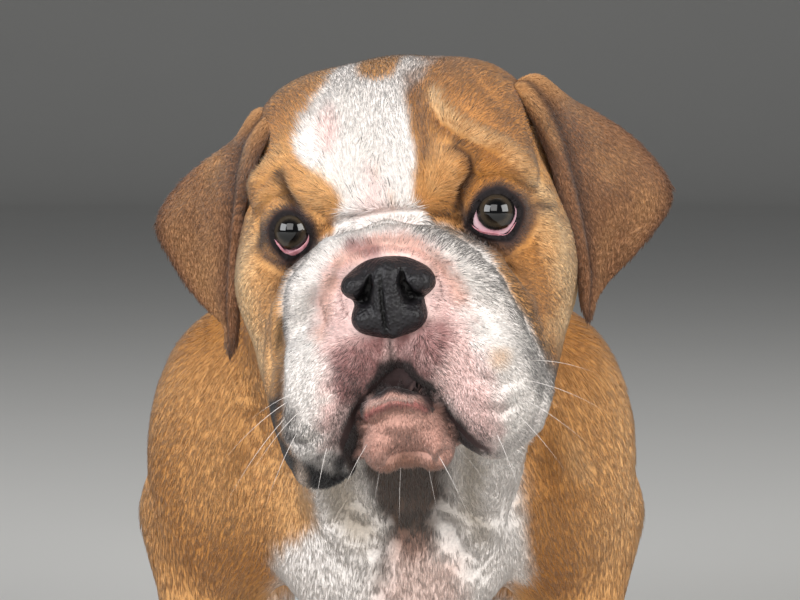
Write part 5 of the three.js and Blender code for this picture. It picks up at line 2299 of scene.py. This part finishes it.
    def _finish(self, name: str, mesh: Mesh, colours: Array, uv: Array) -> None:
        """Gives a piece of the coat its colours, UV map and material.

        Args:
            name: The piece's name.
            mesh: Its mesh.
            colours: A linear colour for each vertex.
            uv: A place on the skin's unwrap for each vertex.
        """
        paint(mesh, "coat", colours)
        layer = mesh.uv_layers.new(name="OFBake")
        layer.data.foreach_set("uv", uv[corner_vertices(mesh)].astype(np.float32).ravel())
        smooth(mesh)
        dress(new_object(name, mesh), self.material)

    def _whiskers(self) -> None:
        """The long stiff hairs of the lips and chin, as tapered tubes rooted in the skin."""
        sides, rings = 4, 8
        turn = np.linspace(0, 2 * math.pi, sides, endpoint=False)
        skin_mesh = self.skin.piece.data
        layer = np.zeros((len(skin_mesh.vertices), 2))
        layer[corner_vertices(skin_mesh)] = read(skin_mesh.uv_layers.active.data, "uv", 2)
        local = self.body.to_head(self.skin.points)
        near = np.flatnonzero((self.skin.ears < 0.5) & (local[:, 1] < 12))
        t = np.linspace(0, 1, rings)[:, None]
        radius = self.whisker_half * (1.02 - t)
        vertices, uv = [], []
        for x, z, way_x, way_z, length in self.whiskers:
            root = near[((local[near][:, [0, 2]] - (x, z)) ** 2).sum(1).argmin()]
            way = unit(np.array([way_x, -0.45, way_z]))
            line = local[root] + way * t * length + np.array([0, 0.1, -0.22]) * (t**2) * length - way * 0.6
            across = unit(np.cross(way, (0.0, 0.3, 1.0)))
            over = np.cross(way, across)
            ring = (line[:, None] + across * (np.cos(turn) * radius)[:, :, None]
                    + over * (np.sin(turn) * radius)[:, :, None])
            vertices.append(ring.reshape(-1, 3))
            uv.append(layer[root] + np.repeat(t, sides, 0) * self.patch)
        i, j = (k.ravel() for k in np.meshgrid(np.arange(rings - 1), np.arange(sides), indexing="ij"))
        k = (j + 1) % sides
        walls = np.stack([i * sides + j, i * sides + k, (i + 1) * sides + k, (i + 1) * sides + j], 1)
        ends = np.array([[3, 2, 1, 0], [(rings - 1) * sides + n for n in range(sides)]])
        one = np.concatenate([walls, ends])
        faces = np.concatenate([one + n * rings * sides for n in range(len(vertices))])
        mesh = mesh_from_arrays("coat_whiskers", self.body.head_to_world(np.concatenate(vertices)), faces)
        turn_outwards(mesh)
        colours = np.tile(linear(WHITE), (len(mesh.vertices), 1))
        self._finish("coat_whiskers", mesh, colours, np.concatenate(uv))


@dataclass
class Nose:
    """The black nose: a broad pad with two wings, comma-shaped nostrils and a groove."""

    body: BodyFrame
    detail: int = 6
    grain: float = 0.07
    leather: Station = (25, 23, 26)
    # Painted shade inside the nostrils, slits and groove
    hollow_shade: Station = (5, 4, 5)
    openings: tuple[tuple[tuple[float, float, float, float], ...], ...] = (
        ((-5.6, -17.4, 0.7, 1.0), (-6.5, -20.5, 1.5, 4.5), (-8.8, -25.0, 2.3, 5.5), (-11.8, -26.0, 1.3, 2.6),
         (-14.6, -24.6, 0.8, 1.4), (-16.6, -22.6, 0.6, 0.5)),
        ((5.8, -16.0, 0.7, 1.0), (5.6, -20.5, 1.5, 4.5), (8.0, -25.4, 2.4, 5.5), (12.0, -26.0, 1.3, 2.6),
         (15.6, -24.0, 0.8, 1.4), (17.6, -21.4, 0.6, 0.5)),
        ((-1.6, -15.5, 0.5, 0.4), (-1.9, -22.0, 0.8, 1.4), (-1.9, -30.0, 0.9, 1.8), (-1.6, -42.0, 1.0, 2.2)),
    )

    def field(self) -> Form:
        """The nose's masses, before the nostrils and groove are pressed in.

        Returns:
            Their form in the head's frame.
        """
        form = Form()
        form.ball((0, -27, -20.5), (15.5, 12.5, 10.5), 5)
        form.ball((-0.8, -28.5, -32), (12.5, 10, 8.6), 5)
        for s in (1, -1):
            form.ball((s * 11.8, -32.5, -20.6), (5.4, 8.2, 4.9), 2.5)
            form.ball((s * 7.6 - 0.8, -32.0, -32.6), (6.0, 7.4, 5.4), 3)
        form.string([(0.2, -35.5, -17, 5.0), (0, -36.5, -28, 4.6), (0, -35.5, -36, 4.2)], 3)
        return form

    def _pressed(self, points: Points) -> tuple[Array, Array]:
        """The nostrils, slits and groove.

        Args:
            points: Places in the head's frame.

        Returns:
            How far in each place goes, in millimetres, and how much painted shade it gets, from 0 to 1.
        """
        deepest, dark = np.zeros(len(points)), np.zeros(len(points))
        for line in self.openings:
            rows = np.array(line)
            gap, along = line_gap(points[:, [0, 2]], rows[:, :2])
            steps = np.concatenate([[0.0], np.cumsum(np.linalg.norm(np.diff(rows[:, :2], axis=0), axis=1))])
            width, depth = (np.interp(along, steps / steps[-1], rows[:, k]) for k in (2, 3))
            deepest = np.maximum(deepest, depth * smoothstep(1.35, 0.65, gap / width))
            dark = np.maximum(dark, smoothstep(1.15, 0.75, gap / width))
        return deepest, dark

    def build(self) -> None:
        """Makes the nose."""
        form = self.field()
        mesh = bpy.data.meshes.new("nose_leather")
        with shaping(mesh) as shape:
            bmesh.ops.create_icosphere(shape, subdivisions=self.detail, radius=1.0)
        edges = edge_pairs(mesh)
        points = coordinates(mesh) * np.array([17, 13, 14]) + np.array([0, -28, -26])
        points = settle_on(form.at, points, 10)
        for _ in range(4):
            points += (neighbour_mean(points, edges) - points) * 0.5
            points = settle_on(form.at, points, 4)
        pressed, dark = self._pressed(points)
        facing = smoothstep(-28.0, -31.0, points[:, 1])
        points[:, 1] += pressed * facing
        points += (neighbour_mean(points, edges) - points) * 0.4
        set_coordinates(mesh, self.body.head_to_world(points))
        # Painted shade inside the nostrils, slits and groove
        inside = (dark * facing)[:, None]
        paint(mesh, "coat", linear(self.leather) * (1 - inside) + linear(self.hollow_shade) * inside)
        pebbles = noise(points, 1.1, 31) + 0.6 * noise(points, 0.7, 32) - 0.8
        points = points + (vertex_normals(mesh) @ self.body.turned) * (pebbles * self.grain * 2)[:, None]
        set_coordinates(mesh, self.body.head_to_world(points))
        smooth(mesh)
        dress(new_object("nose_leather", mesh), NoseFinish().make(), ("nose",))


@dataclass
class Eye:
    """An eyeball with its cornea, the dark margin of its lids and the pink haw beneath."""

    body: BodyFrame
    side: int
    word: str
    radius: float = 10.0
    bulge: float = 1.1
    iris_deg: float = 46.0
    lid_sphere: float = 10.75
    margin: float = 0.6
    gazes: tuple[Station, ...] = ((0.11, -1.0, 0.12), (0.01, -1.0, 0.03))
    shape: EyeShape = EyeShape()

    def _on_sphere(self, flat: Array, radius: float) -> Points:
        """Lifts x and z from the eye's middle onto the front of a sphere round it."""
        y = -np.sqrt(np.maximum(radius**2 - (flat**2).sum(1), 0.0))
        return self.body.eye(self.side) + np.stack([flat[:, 0], y, flat[:, 1]], 1)

    def _ball(self) -> None:
        """Makes the eyeball, which bulges at the cornea."""
        name = f"eyeball_{self.word}"
        mesh = bpy.data.meshes.new(name)
        with shaping(mesh) as shape:
            bmesh.ops.create_icosphere(shape, subdivisions=5, radius=1.0)
        gaze = unit(np.array(self.gazes[0 if self.side > 0 else 1]))
        around = unit(coordinates(mesh))
        angle = np.arccos(np.clip(around @ gaze, -1, 1))
        limit = math.radians(self.iris_deg)
        rise = np.maximum(np.cos(np.minimum(angle / limit, 1.0) * math.pi / 2), 0.0) ** 1.2
        points = self.body.eye(self.side) + around * (self.radius + self.bulge * rise)[:, None]
        set_coordinates(mesh, self.body.head_to_world(points))
        smooth(mesh)
        centre = self.body.head_to_world(self.body.eye(self.side)[None])[0]
        material = EyeFinish(name=f"eye_{self.word}").make(centre, self.body.turned @ gaze)
        dress(new_object(name, mesh), material, (f"eye_{self.word}",))

    def _margin(self, finish: Material, count: int = 72, sides: int = 8) -> None:
        """Makes the lids' dark wet margin, a ring round the opening.

        Args:
            finish: Its material.
            count: How many links the ring has.
            sides: How many sides each link has.
        """
        line = self._on_sphere(self.shape.outline(self.side, count), self.lid_sphere)
        ahead = unit(np.roll(line, -1, 0) - np.roll(line, 1, 0))
        out = unit(line - self.body.eye(self.side))
        beside = np.cross(ahead, out)
        turn = np.linspace(0, 2 * math.pi, sides, endpoint=False)
        ring = (line[:, None] + beside[:, None] * (np.cos(turn) * self.margin * 1.25)[None, :, None]
                + out[:, None] * (np.sin(turn) * self.margin * 0.8)[None, :, None])
        here = np.arange(count * sides).reshape(count, sides)
        ahead_of = np.roll(here, -1, 0)
        corners = [here, np.roll(here, -1, 1), np.roll(ahead_of, -1, 1), ahead_of]
        faces = np.stack(corners, -1).reshape(-1, 4)
        self._closed(f"lid_margin_{self.word}", ring.reshape(-1, 3), faces, finish)

    def _closed(self, name: str, points: Points, faces: Array, finish: Material) -> None:
        """Makes and dresses a closed piece.

        Args:
            name: The piece's name.
            points: Its vertices in the head's frame.
            faces: Its faces.
            finish: Its material.
        """
        mesh = mesh_from_arrays(name, self.body.head_to_world(points), faces)
        turn_outwards(mesh)
        smooth(mesh)
        dress(new_object(name, mesh), finish)

    def _haw(self, finish: Material, count: int = 40, rows: int = 8) -> None:
        """Makes the pink haw, a crescent between the iris and the lower lid.

        Args:
            finish: Its material.
            count: How many points it has along the lid.
            rows: How many it has across.
        """
        angle = np.linspace(math.radians(-172), math.radians(-12), count)
        outline = self.shape.outline(self.side, 720)
        outline_angle = np.arctan2(outline[:, 1], outline[:, 0] * self.side)
        order = np.argsort(outline_angle)
        outer = np.interp(angle, outline_angle[order], np.hypot(*outline[order].T))
        share = np.sin((angle - angle[0]) / (angle[-1] - angle[0]) * math.pi) ** 0.7
        inner = outer - 2.0 * share - 0.2
        size = inner[:, None] + (outer - inner)[:, None] * np.linspace(0, 1, rows)
        flat = np.stack([np.cos(angle)[:, None] * size * self.side, np.sin(angle)[:, None] * size], -1)
        radii = (self.radius + 0.75, self.radius + 0.15)
        points = np.concatenate([self._on_sphere(flat.reshape(-1, 2), radius) for radius in radii])
        i, j = (k.ravel() for k in np.meshgrid(np.arange(count - 1), np.arange(rows - 1), indexing="ij"))
        top = np.stack([i * rows + j, (i + 1) * rows + j, (i + 1) * rows + j + 1, i * rows + j + 1], 1)
        under = top[:, ::-1] + count * rows
        rim = np.concatenate([np.arange(count) * rows, (count - 1) * rows + np.arange(1, rows),
                              np.arange(count - 2, -1, -1) * rows + rows - 1, np.arange(rows - 2, 0, -1)])
        after = np.roll(rim, -1)
        wall = np.stack([rim, after, after + count * rows, rim + count * rows], 1)
        faces = np.concatenate([top, under, wall])
        self._closed(f"haw_{self.word}", points, faces, finish)

    def build(self) -> None:
        """Makes the eye's pieces."""
        rim = WetSkinFinish(name="lid_margin", roughness=0.5, bump=0.3, colour=(34, 24, 26),
                            dark=(16, 12, 14))
        haw = WetSkinFinish(name="haw", roughness=0.25, specular=0.5, coat=0.6, bump=0.2, subsurface=0.1,
                            colour=(218, 158, 168), dark=(184, 112, 124))
        self._ball()
        self._haw(haw.make())
        self._margin(rim.make())


@dataclass
class Claws:
    """The sixteen claws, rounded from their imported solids."""

    horn: PlainFinish = PlainFinish(name="claw_horn", roughness=0.35, specular=0.4, colour=(70, 60, 54),
                                    spread=0.5, scale=260.0, bump=0.2)
    softness: float = 0.4

    def build(self) -> None:
        """Makes them."""
        finish = self.horn.make()
        names = [f"{end}_{word}_{n}" for end in ("fore", "hind") for word, _ in SIDES for n in range(1, 5)]
        for node in (f"claw_{name}" for name in names):
            mesh = bpy.data.meshes.new(f"horn_{node}")
            with shaping(mesh) as shape:
                shape.from_mesh(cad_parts[node].data)
                bmesh.ops.remove_doubles(shape, verts=shape.verts, dist=MERGE_DISTANCE)
                bmesh.ops.subdivide_edges(shape, edges=shape.edges, cuts=1, use_grid_fill=True)
                bmesh.ops.smooth_vert(shape, verts=shape.verts, factor=self.softness, use_axis_x=True,
                                      use_axis_y=True, use_axis_z=True)
            smooth(mesh)
            dress(new_object(f"horn_{node}", mesh), finish, (node,))


@dataclass(frozen=True)
class Lamp:
    """One soft square light."""

    name: str
    place: Station
    size: float
    power: float
    colour: Station

    def hang(self, aim: Vector) -> None:
        """Adds the light, pointed at a place."""
        data = bpy.data.lights.new(self.name, "AREA")
        data.size, data.energy, data.color = self.size, self.power, self.colour
        light = bpy.data.objects.new(self.name, data)
        light.location = self.place
        light.rotation_euler = (aim - Vector(self.place)).to_track_quat("-Z", "Y").to_euler()
        bpy.context.scene.collection.objects.link(light)


@dataclass
class Studio:
    """The pale floor and backdrop, the soft lights and the camera."""

    body: BodyFrame
    lens: float = 115.0
    sensor: float = 36.0
    distance: float = 0.95
    pitch_deg: float = 4.0
    target: Station = (3.6, -196.0, 218.0)
    aim: Station = (0.0, -0.1, 0.2)
    floor_half: float = 9.0
    wall_height: float = 4.0
    sweep: float = 1.6
    sky: Station = (0.86, 0.88, 0.9, 1)
    sky_strength: float = 0.14
    lamps: tuple[Lamp, ...] = (
        Lamp("key", (-0.3, -1.6, 0.95), 1.0, 13.0, (1.0, 0.985, 0.96)),
        Lamp("fill", (-1.9, -1.7, 1.1), 1.5, 58.0, (0.97, 0.98, 1.0)),
        Lamp("top", (0.0, 0.3, 1.8), 1.8, 6.0, (1.0, 1.0, 1.0)),
        Lamp("side", (1.9, -1.6, 1.1), 1.5, 56.0, (1.0, 0.99, 0.97)),
    )

    def build(self) -> None:
        """Sets up the floor, camera and lights."""
        self._floor()
        self._camera()
        for lamp in self.lamps:
            lamp.hang(Vector(self.aim))
        world = bpy.data.worlds.new("studio")
        world.use_nodes = True
        background = world.node_tree.nodes["Background"]
        background.inputs["Color"].default_value = self.sky
        background.inputs["Strength"].default_value = self.sky_strength
        bpy.context.scene.world = world
        bpy.context.scene.view_settings.view_transform = "Standard"

    def _floor(self) -> None:
        """A sheet of pale floor that sweeps up behind."""
        mesh = bpy.data.meshes.new("floor")
        with shaping(mesh) as shape:
            bmesh.ops.create_grid(shape, x_segments=1, y_segments=1, size=self.floor_half)
            edge = self.floor_half - 0.1
            back = [e for e in shape.edges if all(v.co.y > edge for v in e.verts)]
            risen = bmesh.ops.extrude_edge_only(shape, edges=back)["geom"]
            top = [g for g in risen if isinstance(g, bmesh.types.BMVert)]
            bmesh.ops.translate(shape, verts=top, vec=(0, 0, self.wall_height))
            bend = [e for e in shape.edges if all(v.co.y > edge and v.co.z < 0.1 for v in e.verts)]
            bmesh.ops.bevel(shape, geom=bend, offset=self.sweep, segments=24, profile=0.5, affect="EDGES",
                            material=-1)
            bmesh.ops.recalc_face_normals(shape, faces=shape.faces)
        smooth(mesh)
        floor = new_object("floor", mesh)
        finish = PlainFinish(name="floor", roughness=0.85, specular=0.2, colour=(214, 213, 210), spread=0.02,
                             scale=3.0)
        mesh.materials.append(finish.make())

    def _camera(self) -> None:
        """The photograph's view."""
        target = Vector(self.body.to_world(np.array([self.target]))[0])
        pitch = math.radians(self.pitch_deg)
        data = bpy.data.cameras.new("camera")
        data.lens, data.sensor_width = self.lens, self.sensor
        camera = bpy.data.objects.new("camera", data)
        camera.location = target + Vector((0, -math.cos(pitch), math.sin(pitch))) * self.distance
        camera.rotation_euler = (math.pi / 2 - pitch, 0, 0)
        bpy.context.scene.collection.objects.link(camera)
        bpy.context.scene.camera = camera


def main() -> None:
    """Builds the puppy and its studio."""
    logging.basicConfig(level=logging.INFO, format="%(message)s")
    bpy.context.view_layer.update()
    body = BodyFrame()
    form = PuppyForm(body)
    skin = Skin(body, form, Markings(body, form), FaceFolds(), Comb(body))
    skin.build()
    nose = Nose(body)
    nose.build()
    for word, side in SIDES:
        Eye(body, side, word).build()
    Claws().build()
    Coat(body, skin, form, nose.field(), HairFinish().make()).build()
    Studio(body).build()


if __name__ == "__main__":
    main()
